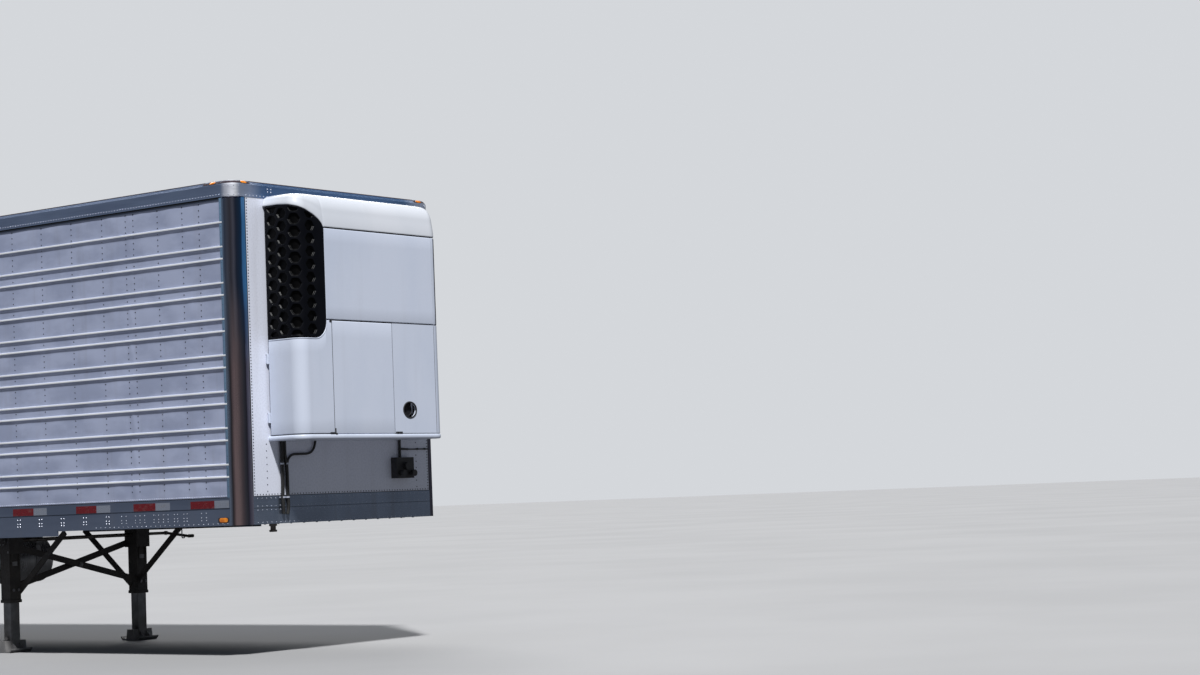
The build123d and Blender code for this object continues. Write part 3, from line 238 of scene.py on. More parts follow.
def put(name, meshes, finish, body="trailer", slot=None, replaces=(), smooth=32, marks=None):
    """Makes the object: closes its seams, turns its faces outwards and hands it to the frame."""
    points, quads = joined(meshes) if isinstance(meshes, list) else meshes
    mesh = bpy.data.meshes.new(name)
    mesh.from_pydata(points, [], quads)
    for mark, values in (marks or {}).items():
        mesh.attributes.new(mark, "FLOAT", "POINT").data.foreach_set("value", values)
    work = bmesh.new()
    work.from_mesh(mesh)
    bmesh.ops.remove_doubles(work, verts=work.verts, dist=4e-6)
    bmesh.ops.dissolve_degenerate(work, edges=work.edges, dist=1e-7)
    bmesh.ops.recalc_face_normals(work, faces=work.faces)
    work.to_mesh(mesh)
    work.free()
    mesh.shade_smooth()
    mesh.set_sharp_from_angle(angle=radians(smooth))
    piece = link(name, mesh)
    piece.data.materials.append(finish_of(finish))
    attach(piece, body)
    if replaces:
        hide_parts(*replaces)


# Finishes


class Tree:
    """Shorthand for a node tree: add a node or group with its settings, and link or set its inputs."""

    def __init__(self, tree):
        self.tree = tree

    def add(self, kind, inputs=None, **settings):
        node = self.tree.nodes.new(f"ShaderNode{kind}")
        for key, value in settings.items():
            setattr(node, key, value)
        for key, value in (inputs or {}).items():
            self.set(node.inputs[key], value)
        return node

    def group(self, name, inputs):
        return self.add("Group", inputs, node_tree=bpy.data.node_groups[name]).outputs

    def object_place(self):
        return self.add("TexCoord").outputs["Object"]

    def set(self, socket, value):
        if isinstance(value, bpy.types.NodeSocket):
            self.tree.links.new(value, socket)
        else:
            socket.default_value = value

    def math(self, kind, a, b=0.0, clamp=False):
        return self.add("Math", {0: a, 1: b}, operation=kind, use_clamp=clamp).outputs[0]

    def times(self, a, b):
        return self.math("MULTIPLY", a, b)

    def plus(self, a, b, clamp=False):
        return self.math("ADD", a, b, clamp)

    def minus(self, a, b, clamp=False):
        return self.math("SUBTRACT", a, b, clamp)

    def blend(self, factor, a, b, kind="MIX"):
        return self.add("Mix", {0: factor, 6: a, 7: b}, data_type="RGBA", blend_type=kind).outputs[2]


def new_group(name, inputs, outputs):
    """A shader node group with its named sockets, and its input and output nodes."""
    tree = bpy.data.node_groups.new(name, "ShaderNodeTree")
    for socket, kind, value in inputs:
        made = tree.interface.new_socket(name=socket, in_out="INPUT", socket_type=kind)
        made.default_value = value
    for socket, kind in outputs:
        tree.interface.new_socket(name=socket, in_out="OUTPUT", socket_type=kind)
    ends = [tree.nodes.new(f"NodeGroup{end}") for end in ("Input", "Output")]
    return Tree(tree), ends[0].outputs, ends[1].inputs


def make_groups():
    """The shared effects: patches, height fades and dirt, each a mask or a colour."""
    value, vector, colour = "NodeSocketFloat", "NodeSocketVector", "NodeSocketColor"
    build, given, out = new_group("Patches", [("Stretch", vector, (1, 1, 1)), ("Detail", value, 3.0),
        ("Low", value, 0.4), ("High", value, 0.6)], [("Mask", value)])
    scaled = build.add("VectorMath", {0: build.object_place(), 1: given["Stretch"]}, operation="MULTIPLY")
    noise = build.add("TexNoise", {"Vector": scaled.outputs[0], "Scale": 1.0, "Detail": given["Detail"],
        "Roughness": 0.55})
    spread = build.add("MapRange", {"Value": noise.outputs["Fac"], "From Min": given["Low"],
        "From Max": given["High"]}, interpolation_type="SMOOTHSTEP")
    build.set(out["Mask"], spread.outputs[0])

    build, given, out = new_group("Height Fade", [("Low", value, 0.0), ("High", value, 1.0)],
        [("Mask", value)])
    height = build.add("SeparateXYZ", {"Vector": build.object_place()}).outputs["Z"]
    fade = build.add("MapRange", {"Value": height, "From Min": given["High"], "From Max": given["Low"]},
        interpolation_type="SMOOTHSTEP")
    build.set(out["Mask"], fade.outputs[0])

    build, given, out = new_group("Road Dirt",
        [("Clean", colour, (0.8, 0.8, 0.8, 1)), ("Dirt", colour, (0.2, 0.17, 0.14, 1)),
        ("Streaks", value, 0.2), ("Splash", value, 0.3), ("Splash Height", value, 1.6)],
        [("Color", colour), ("Mask", value)])
    streak = patches(build, (9, 9, 0.7), 4.0, 0.5, 0.78)
    cloud = patches(build, (2.3, 2.3, 2.9), 6.0, 0.32, 0.7)
    low = build.group("Height Fade", {"Low": 0.2, "High": given["Splash Height"]})["Mask"]
    streaks = build.times(streak, given["Streaks"])
    splash = build.times(build.times(low, given["Splash"]), build.plus(cloud, 0.35))
    mask = build.plus(streaks, splash, clamp=True)
    build.set(out["Mask"], mask)
    build.set(out["Color"], build.blend(mask, given["Clean"], given["Dirt"]))


def patches(build, stretch, detail=3.0, low=0.4, high=0.6):
    """Places the patches group and returns its mask; one number stretches all three ways."""
    stretch = stretch if isinstance(stretch, tuple) else (stretch,) * 3
    return build.group("Patches", {"Stretch": stretch, "Detail": detail, "Low": low, "High": high})["Mask"]


def new_material(name):
    """A material of that finish, the shorthand for its tree, and its shader's inputs."""
    material = bpy.data.materials.new(f"{name}_finish")
    material.use_nodes = True
    return Tree(material.node_tree), material.node_tree.nodes["Principled BSDF"].inputs


def rgba(colour):
    return (*colour, 1.0)


BROWN = (0.16, 0.14, 0.12)
# Painted reflections of the polished corner posts: colour bands round each post and a blue flat strip at the
# side
POST_REFLECTION_BANDS = (
    (0.0, (0.6, 0.75, 0.95)), (1.0, (0.06, 0.2, 0.42)), (0.09, (0.22, 0.25, 0.33)),
    (0.2, (0.34, 0.33, 0.38)), (0.34, (0.24, 0.21, 0.23)), (0.46, (0.4, 0.37, 0.42)),
    (0.58, (0.1, 0.12, 0.18)), (0.72, (0.07, 0.13, 0.22)), (0.86, (0.05, 0.18, 0.4)),
)
# Painted reflection of the ground at the posts' foot
FOOT_REFLECTION_BANDS = (
    (0.0, (0.4, 0.5, 0.62)), (1.0, (0.12, 0.115, 0.15)), (0.08, (0.22, 0.25, 0.32)),
    (0.16, (0.07, 0.06, 0.065)), (0.3, (0.46, 0.32, 0.31)), (0.44, (0.38, 0.27, 0.26)),
    (0.58, (0.19, 0.145, 0.155)), (0.72, (0.1, 0.098, 0.115)), (0.86, (0.05, 0.046, 0.074)),
)
# Painted highlight and reflection of the header: a bright band round its corner, darker blue away from it
HEADER_HIGHLIGHT_BANDS = (
    (0.0, (0.27, 0.345, 0.5)), (1.0, (0.1, 0.19, 0.36)), (0.27, (0.29, 0.37, 0.53)), (0.34, (0.9, 0.92, 1.0)),
    (0.52, (0.95, 0.97, 1.0)), (0.58, (0.5, 0.56, 0.68)), (0.74, (0.44, 0.52, 0.68)),
        (0.93, (0.14, 0.24, 0.42)),
)
# One row a finish: colour, second colour of its patches, their stretch, roughness low and high, grain's
# stretch and depth in metres, streaks, splash, and what only some have
FINISHES = {
    "white_coat": ((0.76, 0.79, 0.9), (0.71, 0.745, 0.86), (0.9, 0.9, 0.5), (0.22, 0.34),
        55, 0.00012, 0.1, 0.25, dict(reach=1.7, coat=0.25)),
    "unit_white": ((0.63, 0.68, 0.8), (0.59, 0.645, 0.77), (1.4, 1.4, 0.8), (0.34, 0.44),
        70, 0.0001, 0.05, 0.0, dict(coat=0.12)),
    # A lighter white than the unit's panels: partly the cap's own tone, partly painted light for the light
    # its face catches
    "cap_white": ((0.71, 0.735, 0.79), (0.67, 0.7, 0.76), (1.4, 1.4, 0.8), (0.3, 0.4),
        70, 0.0001, 0.03, 0.0, dict(coat=0.15)),
    "nut_steel": ((0.44, 0.45, 0.47), (0.26, 0.25, 0.25), 40, (0.25, 0.45), 120, 0.00015, 0.1, 0.4,
        dict(metal=0.9, reach=1.0)),
    "silver_sheet": ((0.42, 0.48, 0.63), (0.34, 0.39, 0.53), (0.8, 0.8, 2.2), (0.3, 0.44), (6, 6, 160),
        0.00008, 0.16, 0.2, dict(metal=0.4, reach=1.9)),
    # The sheet's blue-lavender tint is partly a painted reflection of the sky, and its patches are partly
    # painted shade of the swelling bays; ribs= is the painted highlight on the crests
    "ribbed_sheet": ((0.52, 0.575, 0.77), (0.41, 0.46, 0.635), (2.3, 1, 4.6), (0.3, 0.42), (6, 6, 160),
        0.00002, 0.14, 0.2, dict(metal=0.25, reach=1.9, ribs=(0.95, 0.97, 1.0))),
    # Painted shade: rivet heads darkened to stand for the shade they sit in
    "rivet_shaded": ((0.05, 0.055, 0.085), (0.035, 0.04, 0.06), 9, (0.3, 0.5), 90, 0.00004, 0.0, 0.1,
        dict(metal=0.5)),
    "rivet_bright": ((0.62, 0.65, 0.75), (0.46, 0.49, 0.58), 9, (0.26, 0.4), 90, 0.00004, 0.0, 0.1,
        dict(metal=0.35)),
    # Its blue is a painted reflection of the sky on the trim
    "trim_steel": ((0.24, 0.38, 0.55), (0.18, 0.29, 0.44), (8, 8, 0.8), (0.16, 0.28), (90, 90, 3),
        0.00004, 0.1, 0.1, dict(metal=0.4)),
    "seal_black": ((0.008, 0.008, 0.01), (0.014, 0.014, 0.016), 12, (0.55, 0.8), 150, 0.0002, 0.0, 0.1,
        dict(shine=0.2)),
    "edge_brown": ((0.03, 0.017, 0.028), (0.05, 0.03, 0.032), (6, 6, 20), (0.4, 0.6),
        90, 0.0001, 0.0, 0.0, dict()),
    "slate_rail": ((0.125, 0.155, 0.225), (0.095, 0.12, 0.18), (0.6, 0.6, 4), (0.3, 0.46), (3, 40, 220),
        0.00006, 0.12, 0.12, dict(metal=0.4, reach=1.5)),
    # corner= paints a highlight round the header's corner
    "satin_rail": ((0.98, 0.98, 1.0), (0.8, 0.8, 0.84), (0.7, 0.7, 5), (0.4, 0.52), (3, 30, 200),
        0.00004, 0.08, 0.05, dict(metal=0.8, corner=HEADER_HIGHLIGHT_BANDS)),
    "roof_sheet": ((0.43, 0.45, 0.48), (0.36, 0.375, 0.4), (0.5, 1.1, 1), (0.34, 0.52),
        60, 0.0001, 0.25, 0.0, dict(metal=0.3, dirt=(0.23, 0.215, 0.195))),
    # bands= paints reflections on the posts
    "post_steel": ((0.96, 0.96, 0.98), (0.8, 0.8, 0.82), (14, 14, 0.25), (0.05, 0.13), (90, 90, 2),
        0.00004, 0.05, 0.0, dict(metal=1.0, bands=POST_REFLECTION_BANDS)),
    "kick_steel": ((0.29, 0.35, 0.46), (0.23, 0.275, 0.36), (2, 2, 1), (0.2, 0.36), (4, 4, 120),
        0.00006, 0.25, 0.3, dict(metal=0.95, reach=1.6)),
    "rear_steel": ((0.42, 0.43, 0.46), (0.34, 0.35, 0.38), (2, 2, 0.6), (0.2, 0.36), (60, 60, 3),
        0.00006, 0.2, 0.4, dict(metal=0.95, reach=2.0)),
    "chassis_black": ((0.022, 0.022, 0.025), (0.035, 0.034, 0.034), 5, (0.42, 0.68),
        45, 0.0003, 0.15, 0.55, dict(reach=1.4)),
    "zinc": ((0.4, 0.41, 0.43), (0.27, 0.28, 0.3), 14, (0.38, 0.6), 60, 0.00015, 0.2, 0.5,
        dict(metal=0.85, reach=1.5)),
    "greased_steel": ((0.2, 0.19, 0.18), (0.09, 0.08, 0.07), (20, 20, 12), (0.25, 0.5),
        90, 0.0001, 0.2, 0.5, dict(metal=0.9, reach=1.4)),
    "grooved_floor": ((0.56, 0.56, 0.57), (0.4, 0.4, 0.41), (0.7, 9, 3), (0.36, 0.55), (5, 160, 30),
        0.0001, 0.2, 0.0, dict(metal=0.45)),
    "liner_white": ((0.78, 0.79, 0.78), (0.71, 0.72, 0.71), (0.9, 0.9, 1.8), (0.36, 0.5),
        120, 0.0002, 0.1, 0.4, dict(reach=1.9)),
    # cells= is painted shade: the cells' hollows are darker than the face
    "grille_black": ((0.0022, 0.0026, 0.0045), (0.0034, 0.0038, 0.006), 7, (0.38, 0.5),
        220, 0.00008, 0.0, 0.0, dict(shine=0.09, cells=(0.0006, 0.0006, 0.0008))),
    "black_plastic": ((0.02, 0.02, 0.022), (0.03, 0.03, 0.032), 9, (0.4, 0.6), 300, 0.00015, 0.1, 0.3,
        dict(reach=1.5)),
    "tread_rubber": ((0.017, 0.017, 0.018), (0.03, 0.028, 0.027), 6, (0.6, 0.82), 160, 0.0003, 0.0, 0.5,
        dict(reach=0.9)),
    "flap_rubber": ((0.016, 0.016, 0.017), (0.028, 0.027, 0.026), (4, 4, 3), (0.5, 0.75),
        90, 0.0003, 0.25, 0.7, dict(reach=1.3)),
    "wheel_enamel": ((0.56, 0.57, 0.6), (0.46, 0.47, 0.5), 6, (0.26, 0.42), 60, 0.00015, 0.15, 0.35,
        dict(metal=0.35, reach=1.1)),
    "hub_black": ((0.024, 0.023, 0.022), (0.055, 0.04, 0.03), 16, (0.4, 0.7), 110, 0.0004, 0.1, 0.4,
        dict(metal=0.2, reach=1.0)),
    "tank_metal": ((0.5, 0.51, 0.53), (0.42, 0.43, 0.45), 3, (0.18, 0.32), (2, 90, 2),
        0.00008, 0.15, 0.5, dict(metal=0.95, reach=1.3)),
    "engine_iron": ((0.07, 0.07, 0.075), (0.11, 0.1, 0.09), 9, (0.45, 0.7), 70, 0.0006, 0.2, 0.0,
        dict(metal=0.4)),
    "hose_rubber": ((0.012, 0.012, 0.013), (0.02, 0.02, 0.02), 20, (0.35, 0.55), 200, 0.0002, 0.0, 0.3,
        dict(reach=1.6)),
}


def paint_rib_highlight(build, paint, bright):
    """Painted highlight on the crests of the ribs, from the sheet's own attribute."""
    crest_highlight = build.add("Attribute", attribute_name="rib_highlight").outputs["Fac"]
    return build.blend(crest_highlight, paint, rgba(bright))


def distance_round(build, corner):
    """Distance round a front corner: nothing where its arc meets the front, less along the side."""
    place = build.object_place()
    split = build.add("SeparateXYZ", {"Vector": place}).outputs
    side = build.minus(build.math("ABSOLUTE", split["Y"]), corner)
    return place, build.minus(build.minus(split["X"], NOSE), side)


def shade_ramp(build, where, stops):
    """A colour ramp over a distance that has been brought to 0 to 1."""
    ramp = build.add("ValToRGB", {"Fac": where})
    elements = ramp.color_ramp.elements
    for index, (position, colour) in enumerate(stops):
        stop = elements[index] if index < 2 else elements.new(position)
        stop.position = position
        stop.color = rgba(colour)
    return ramp.outputs["Color"]


def paint_corner_highlight(build, paint, stops):
    """Painted highlight round the header's corner, with darker painted sky reflection either side: a ramp
    round it that multiplies the paint.
    """
    _, reach = distance_round(build, 1.18)
    where = build.math("DIVIDE", build.plus(reach, 0.45), 0.75, clamp=True)
    return build.blend(1.0, paint, shade_ramp(build, where, stops), "MULTIPLY")


def paint_post_reflections(build, paint, bands):
    """Painted reflections as upright bands round a corner post: a ramp over the distance round it, bent a
    little by noise.

    A second ramp, a painted reflection of the ground, takes over towards the foot.
    """
    place, reach = distance_round(build, 1.136)
    bend = build.add("TexNoise", {"Vector": place, "Scale": 1.3, "Detail": 3.0}).outputs["Fac"]
    reach = build.plus(reach, build.times(build.minus(bend, 0.5), 0.05))
    where = build.math("DIVIDE", build.plus(reach, 0.285), 0.285, clamp=True)
    flat = build.add("MapRange", {"Value": where, "From Min": 0.8, "From Max": 0.86}).outputs[0]
    height = build.add("SeparateXYZ", {"Vector": place}).outputs["Z"]
    height = build.plus(height, build.times(bend, 1.2))
    low = build.add("MapRange", {"Value": height, "From Min": 3.85, "From Max": 3.0}).outputs[0]
    tone = build.blend(low, shade_ramp(build, where, bands), shade_ramp(build, where, FOOT_REFLECTION_BANDS))
    flat = build.math("MAXIMUM", flat, build.times(low, 0.18))
    return build.blend(1.0, paint, tone, "MULTIPLY"), flat


def build_finish(name, row):
    """One finish: patches blend two colours, dirt covers them, fine grain moves gloss and relief."""
    colour, second, stretch, (low, high), grain, depth, streaks, splash, rest = row
    build, shader = new_material(name)
    tone = build.blend(patches(build, stretch, 5.0, 0.36, 0.66), rgba(colour), rgba(second))
    paint, dirt = build.group("Road Dirt", {"Clean": tone, "Dirt": rgba(rest.get("dirt", BROWN)),
        "Streaks": streaks, "Splash": splash, "Splash Height": rest.get("reach", 1.5)})
    grain = patches(build, grain, 2.0, 0.3, 0.7)
    gloss = build.add("MapRange", {"Value": grain, "To Min": low, "To Max": high}).outputs[0]
    gloss = build.plus(gloss, build.times(dirt, 0.35), clamp=True)
    relief = build.add("Bump", {"Height": grain, "Strength": 1.0, "Distance": depth}).outputs[0]
    # Painted highlight along the rib crests
    if "ribs" in rest:
        paint = paint_rib_highlight(build, paint, rest["ribs"])
    # Painted highlight round the header's corner
    if "corner" in rest:
        paint = paint_corner_highlight(build, paint, rest["corner"])
    # Painted shade: the cells' hollows take a darker colour as they deepen
    if "cells" in rest:
        cell = build.add("Attribute", attribute_name="cell").outputs["Fac"]
        paint = build.blend(cell, paint, rgba(rest["cells"]))
        rim = build.times(cell, build.minus(1.0, cell))
        gloss = build.minus(gloss, build.times(rim, 0.5), clamp=True)
    metal = build.times(build.minus(1.0, dirt), rest.get("metal", 0.0))
    # Painted reflection bands on the corner posts
    if "bands" in rest:
        paint, flat = paint_post_reflections(build, paint, rest["bands"])
        metal = build.minus(metal, build.times(flat, 0.7), clamp=True)
        gloss = build.plus(gloss, build.times(flat, 0.3), clamp=True)
    build.set(shader["Base Color"], paint)
    build.set(shader["Roughness"], gloss)
    build.set(shader["Normal"], relief)
    if "metal" in rest:
        build.set(shader["Metallic"], metal)
    shader["Coat Weight"].default_value = rest.get("coat", 0.0)
    shader["Specular IOR Level"].default_value = rest.get("shine", 0.5)
    shader["Coat Roughness"].default_value = 0.08


def build_lens(name, colour, deep):
    """A moulded lamp lens: fine ribs across it, two tones in patches, a faint glow and a clear gloss."""
    build, shader = new_material(name)
    ribs = build.add("TexWave", {"Vector": build.object_place(), "Scale": 60.0, "Distortion": 0.0},
        bands_direction="DIAGONAL").outputs["Fac"]
    tone = build.blend(patches(build, 30, 2.0, 0.3, 0.7), rgba(colour), rgba(deep))
    relief = build.add("Bump", {"Height": ribs, "Distance": 0.0006}).outputs[0]
    build.set(shader["Base Color"], tone)
    build.set(shader["Normal"], relief)
    build.set(shader["Emission Color"], tone)
    shader["Emission Strength"].default_value = 0.15
    shader["Roughness"].default_value = 0.16
    shader["Coat Weight"].default_value = 0.6


def build_tape(name, colour, deep):
    """Reflective tape: a fine lattice of small cells that darkens the colour along its lines."""
    build, shader = new_material(name)
    cells = build.add("TexVoronoi", {"Vector": build.object_place(), "Scale": 260.0},
        feature="DISTANCE_TO_EDGE").outputs["Distance"]
    lattice = build.math("GREATER_THAN", cells, 0.12)
    worn = patches(build, (16, 16, 30), 5.0, 0.5, 0.8)
    tone = build.blend(lattice, rgba(deep), rgba(colour))
    tone = build.blend(build.times(worn, 0.35), tone, rgba(BROWN))
    build.set(shader["Base Color"], tone)
    build.set(shader["Roughness"], build.plus(build.times(worn, 0.3), 0.25))
    shader["Coat Weight"].default_value = 0.5


NODE_FINISH = {
    "white_coat": ("front_wall", "rear_door_curb", "rear_door_road"),
    "roof_sheet": ("roof_panel",),
    "silver_sheet": ("side_wall_curb", "side_wall_road"),
    "slate_rail": ("base_rails",),
    "satin_rail": ("front_header", "top_rails"),
    "post_steel": ("corner_posts",),
    "kick_steel": ("front_kick_plate",),
    "rear_steel": ("rear_frame",),
    "grooved_floor": ("floor_panel",),
    "liner_white": ("air_bulkhead",),
    "zinc": (
        "crossmembers", "landing_inner_legs", "mudflap_hangers", "rear_guard", "hinge_butts",
        "rod_keepers", "fuel_tank_straps", "door_hardware_curb", "door_hardware_road",
    ),
    "greased_steel": ("kingpin", "landing_drive"),
    "chassis_black": (
        "coupler_plate", "landing_legs", "slider_rails", "bogie_frame", "suspension_arms",
        "shock_absorbers", "axle_beams", "air_tanks", "unit_chassis",
    ),
    "flap_rubber": ("mudflaps", "air_springs"),
    "unit_white": (
        "unit_tray", "unit_cap", "unit_upper_panel", "unit_centre_panel", "unit_door_curb",
        "unit_door_road",
    ),
    "grille_black": ("unit_grilles",),
    "engine_iron": ("unit_engine",),
    "hose_rubber": ("unit_hoses",),
    "black_plastic": ("nose_connectors",),
    "tank_metal": ("fuel_tank",),
    "amber_lens": ("marker_lamps",),
    "red_lens": ("tail_lamps",),
    "tread_rubber": tuple(f"tyres_{a}_{s}" for a in ("front", "rear") for s in SIDES),
    "wheel_enamel": tuple(f"wheel_{a}_{s}" for a in ("front", "rear") for s in SIDES),
}


def finish_of(name):
    """The made finish of that name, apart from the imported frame's plain colours."""
    return bpy.data.materials[f"{name}_finish"]


# Sheets and rails

RIB_CRESTS = [3.74] + [3.477 - k * 0.3118 + d for k in range(7) for d in (0.0525, -0.0525)]
# A rib's section down its face: offset from the crest, height, painted highlight
RIB_SHAPE = np.array(
    [(0.0135, 0.0, 0.0), (0.0115, 0.002, 0.2), (0.008, 0.0125, 1.0), (0.0, 0.014, 1.0),
     (-0.0048, 0.0139, 1.0), (-0.007, 0.013, 0.0), (-0.0185, 0.0058, 0.0), (-0.0255, 0.0016, 0.0),
     (-0.029, 0.0004, 0.0), (-0.032, 0.0, 0.0)]
)
FIRST_COLUMNS = (0.42, 0.63, 0.945, 1.26, 1.36, 1.675)
COLUMN_PITCH = 0.4155
RIVETS_FROM = 3.922
RIVET_PITCH = 0.0512
WALL_FRONT = 0.125
WALL_REAR = 16.054
SHEET_LOW = 1.376
SHEET_HIGH = 3.96
BAY_EDGES = np.sort(np.array([SHEET_LOW, *RIB_CRESTS, SHEET_HIGH]))


def rivet_columns():
    """Stations of the rivet lines: the measured first ones, then an even pitch with doubled joints."""
    even = np.arange(FIRST_COLUMNS[-1] + COLUMN_PITCH, 15.95, COLUMN_PITCH)
    joints = even[6::6] + 0.1
    return np.sort(np.concatenate([FIRST_COLUMNS, even, joints]))


def wall_heights():
    """Heights down the sheet, close together over each rib and evenly spread between the ribs."""
    marks = [SHEET_HIGH]
    for crest in RIB_CRESTS:
        top = crest + RIB_SHAPE[0, 0]
        marks += list(np.linspace(marks[-1], top, 7)[1:])
        marks += list(crest + RIB_SHAPE[1:, 0])
    marks += list(np.linspace(marks[-1], SHEET_LOW, 6)[1:])
    return np.array(marks)


def rib_value(z, column):
    """One column of the ribs' section at a height: how far they stand off, or how much painted highlight they
    carry.
    """
    ribs = [np.interp(z - crest, RIB_SHAPE[::-1, 0], RIB_SHAPE[::-1, column], 0, 0) for crest in RIB_CRESTS]
    return np.max(ribs, axis=0)


def bay_swelling(x, z, lines, seed):
    """Soft swelling of the sheet inside each riveted bay.

    A sine across times a sine down the bay, tilted and scaled by chance for each bay; it dies away on
    the rivet lines and at the ribs, and the narrow bays between paired ribs have none.
    """
    station = NOSE - x
    bay = np.clip(np.searchsorted(lines, station) - 1, 0, len(lines) - 2)
    across = np.clip((station - lines[bay]) / (lines[bay + 1] - lines[bay]), 0, 1)
    row = np.clip(np.searchsorted(BAY_EDGES, z) - 1, 0, len(BAY_EDGES) - 2)
    tall = BAY_EDGES[row + 1] - BAY_EDGES[row]
    chance = np.random.default_rng(seed)
    size = chance.uniform(0.2, 1.0, (len(lines), len(BAY_EDGES)))[bay, row]
    lean = chance.uniform(-0.7, 0.7, (len(lines), len(BAY_EDGES)))[bay, row]
    down = np.clip((z - BAY_EDGES[row]) / tall + lean * (across - 0.5) * np.sin(pi * across), 0, 1)
    return np.sin(pi * across) * np.sin(pi * down) * size * (tall > 0.12)


def build_side_sheets(settings):
    """Outer sheets: a grid along the body and down the ribs, closed behind to the wall's thickness."""
    columns = rivet_columns()
    lines = np.concatenate([[WALL_FRONT], columns, [WALL_REAR]])
    stations = [np.linspace(a, b, 8)[:-1] for a, b in zip(lines[:-1], lines[1:])]
    x = NOSE - np.append(np.concatenate(stations), lines[-1])
    heights = wall_heights()
    rim = ((SKIN, 1.252), (SKIN - 0.046, 1.252), (SKIN - 0.046, 4.03), (SKIN, 4.03))
    # Painted highlight on the rib crests, carried as a mark on the sheet
    crest_highlight = rib_value(heights, 2)
    marks = np.broadcast_to(np.concatenate([crest_highlight, np.zeros(4)]), (len(x), len(heights) + 4))
    for seed, (name, side) in enumerate(SIDES.items()):
        grid_x, grid_z = np.meshgrid(x, heights, indexing="ij")
        out = SKIN + rib_value(grid_z, 1) + settings.quilt * bay_swelling(grid_x, grid_z, lines, seed + 7)
        face = np.stack([grid_x, side * out, grid_z], axis=-1)
        back = [np.stack([x, np.full_like(x, side * y), np.full_like(x, z)], axis=-1) for y, z in rim]
        rings = np.concatenate([face, np.stack(back, axis=1)], axis=1)
        ends = np.zeros((1, rings.shape[1]))
        put(f"side_sheet_{name}", capped(rings), "ribbed_sheet", replaces=(f"side_wall_{name}",), smooth=24,
            marks={"rib_highlight": np.concatenate([ends, marks, ends]).ravel()})
        build_sheet_rivets(name, side, columns)


def build_sheet_rivets(name, side, columns):
    """Rivets evenly down each line, left out where the ribs stand off, and a row at the foot."""
    heights = np.arange(RIVETS_FROM, SHEET_LOW + 0.04, -RIVET_PITCH)
    heights = heights[rib_value(heights, 1) < 0.0035]
    places = grid_places(NOSE - columns, side * (SKIN - 0.0005), heights)
    # Sheet rivets in painted shade
    put(f"sheet_rivets_{name}", rivets(places, (0, side, 0), 0.0078, 0.0044, 5), "rivet_shaded")
    foot = grid_places(NOSE - np.arange(0.155, 16.03, 0.028), side * (SKIN + 0.0004), 1.3915)
    put(f"foot_rivets_{name}", rivets(foot, (0, side, 0), 0.0075, 0.0048, 6), "rivet_bright",
        slot="silver_sheet")


RED_TAPES = [(0.314, 0.608), (1.053, 1.335), (1.826, 2.1), (2.69, 2.98)]
RED_TAPES += [(near, near + 0.285) for near in np.arange(3.75, 15.7, 0.9)]
FIRST_POSTS = (0.42, 0.48, 0.66, 0.7, 0.78, 0.82, 0.9, 0.96, 1.02, 1.08, 1.2, 1.26, 1.32, 1.44, 1.5)


def build_rail_details():
    """Rivet rows on the rails, clusters where the cross-members meet the base rail, tape, a black strip of
    painted shadow under the top rail and a dark joint at the sheet's foot.
    """
    red, white = [], []
    for name, side in SIDES.items():
        face = (0, side, 0)
        row = NOSE - np.arange(0.15, 16.0, 0.036)
        meshes = [rivets(grid_places(row, side * HALF, 3.98), face, 0.0064, 0.0034, 5)]
        beams = NOSE - np.arange(1.685, 16.0, 0.305)
        pair = np.concatenate([beams - 0.018, beams + 0.018])
        rows = [1.19, 1.214, 1.252]
        meshes += [
            rivets(grid_places(pair, side * BAND, rows), face, 0.0065, 0.0032),
            rivets(grid_places(NOSE - np.array(FIRST_POSTS), side * BAND, rows), face, 0.0055, 0.003),
            rivets(grid_places(NOSE - np.arange(0.16, 1.9, 0.06), side * BAND, 1.157), face, 0.005, 0.0026,
                5),
        ]
        put(f"rail_rivets_{name}", meshes, "rivet_bright", slot="slate_rail")
        for near, far in RED_TAPES:
            red.append(tape_strip(near, far, side))
            white.append(tape_strip(max(near - 0.185, 0.135), near - 0.002, side))
        # Painted shadow: a black strip under the top rail's lip; the strip at the sheet's foot is a dark
        # joint
        seal = block((NOSE - WALL_REAR, side * 1.279, 3.949), (NOSE - 0.13, side * 1.2925, 3.9595), 0.002)
        lip = block((NOSE - WALL_REAR, side * 1.279, 3.934), (NOSE - 0.13, side * 1.288, 3.949), 0.002)
        put(f"rail_lip_{name}", [lip], "slate_rail")
        foot = block((NOSE - WALL_REAR, side * 1.279, 1.3765), (NOSE - 0.13, side * 1.2835, 1.3825), 0.001)
        put(f"rail_shadow_and_joint_strips_{name}", [seal, foot], "seal_black", slot="slate_rail")
        trim = block((NOSE - 0.158, side * 1.2805, 1.378), (NOSE - 0.1262, side * 1.2925, 3.958), 0.0015)
        put(f"post_trim_{name}", [trim], "trim_steel")
        places = grid_places(NOSE - 0.142, side * 1.2922, np.arange(1.42, 3.95, 0.052))
        put(f"trim_rivets_{name}", rivets(places, face, 0.004, 0.0022, 5), "rivet_shaded")
    put("tape_red", red, "tape_red")
    put("tape_white", white, "tape_white", slot="slate_rail")


def tape_strip(near, far, side):
    """A thin strip on the base rail's upper band between two stations."""
    return block((NOSE - far, side * HALF, 1.29 + 0.002), (NOSE - near, side * (HALF + 0.0008), 1.357),
        0.0003)


# Cooling unit

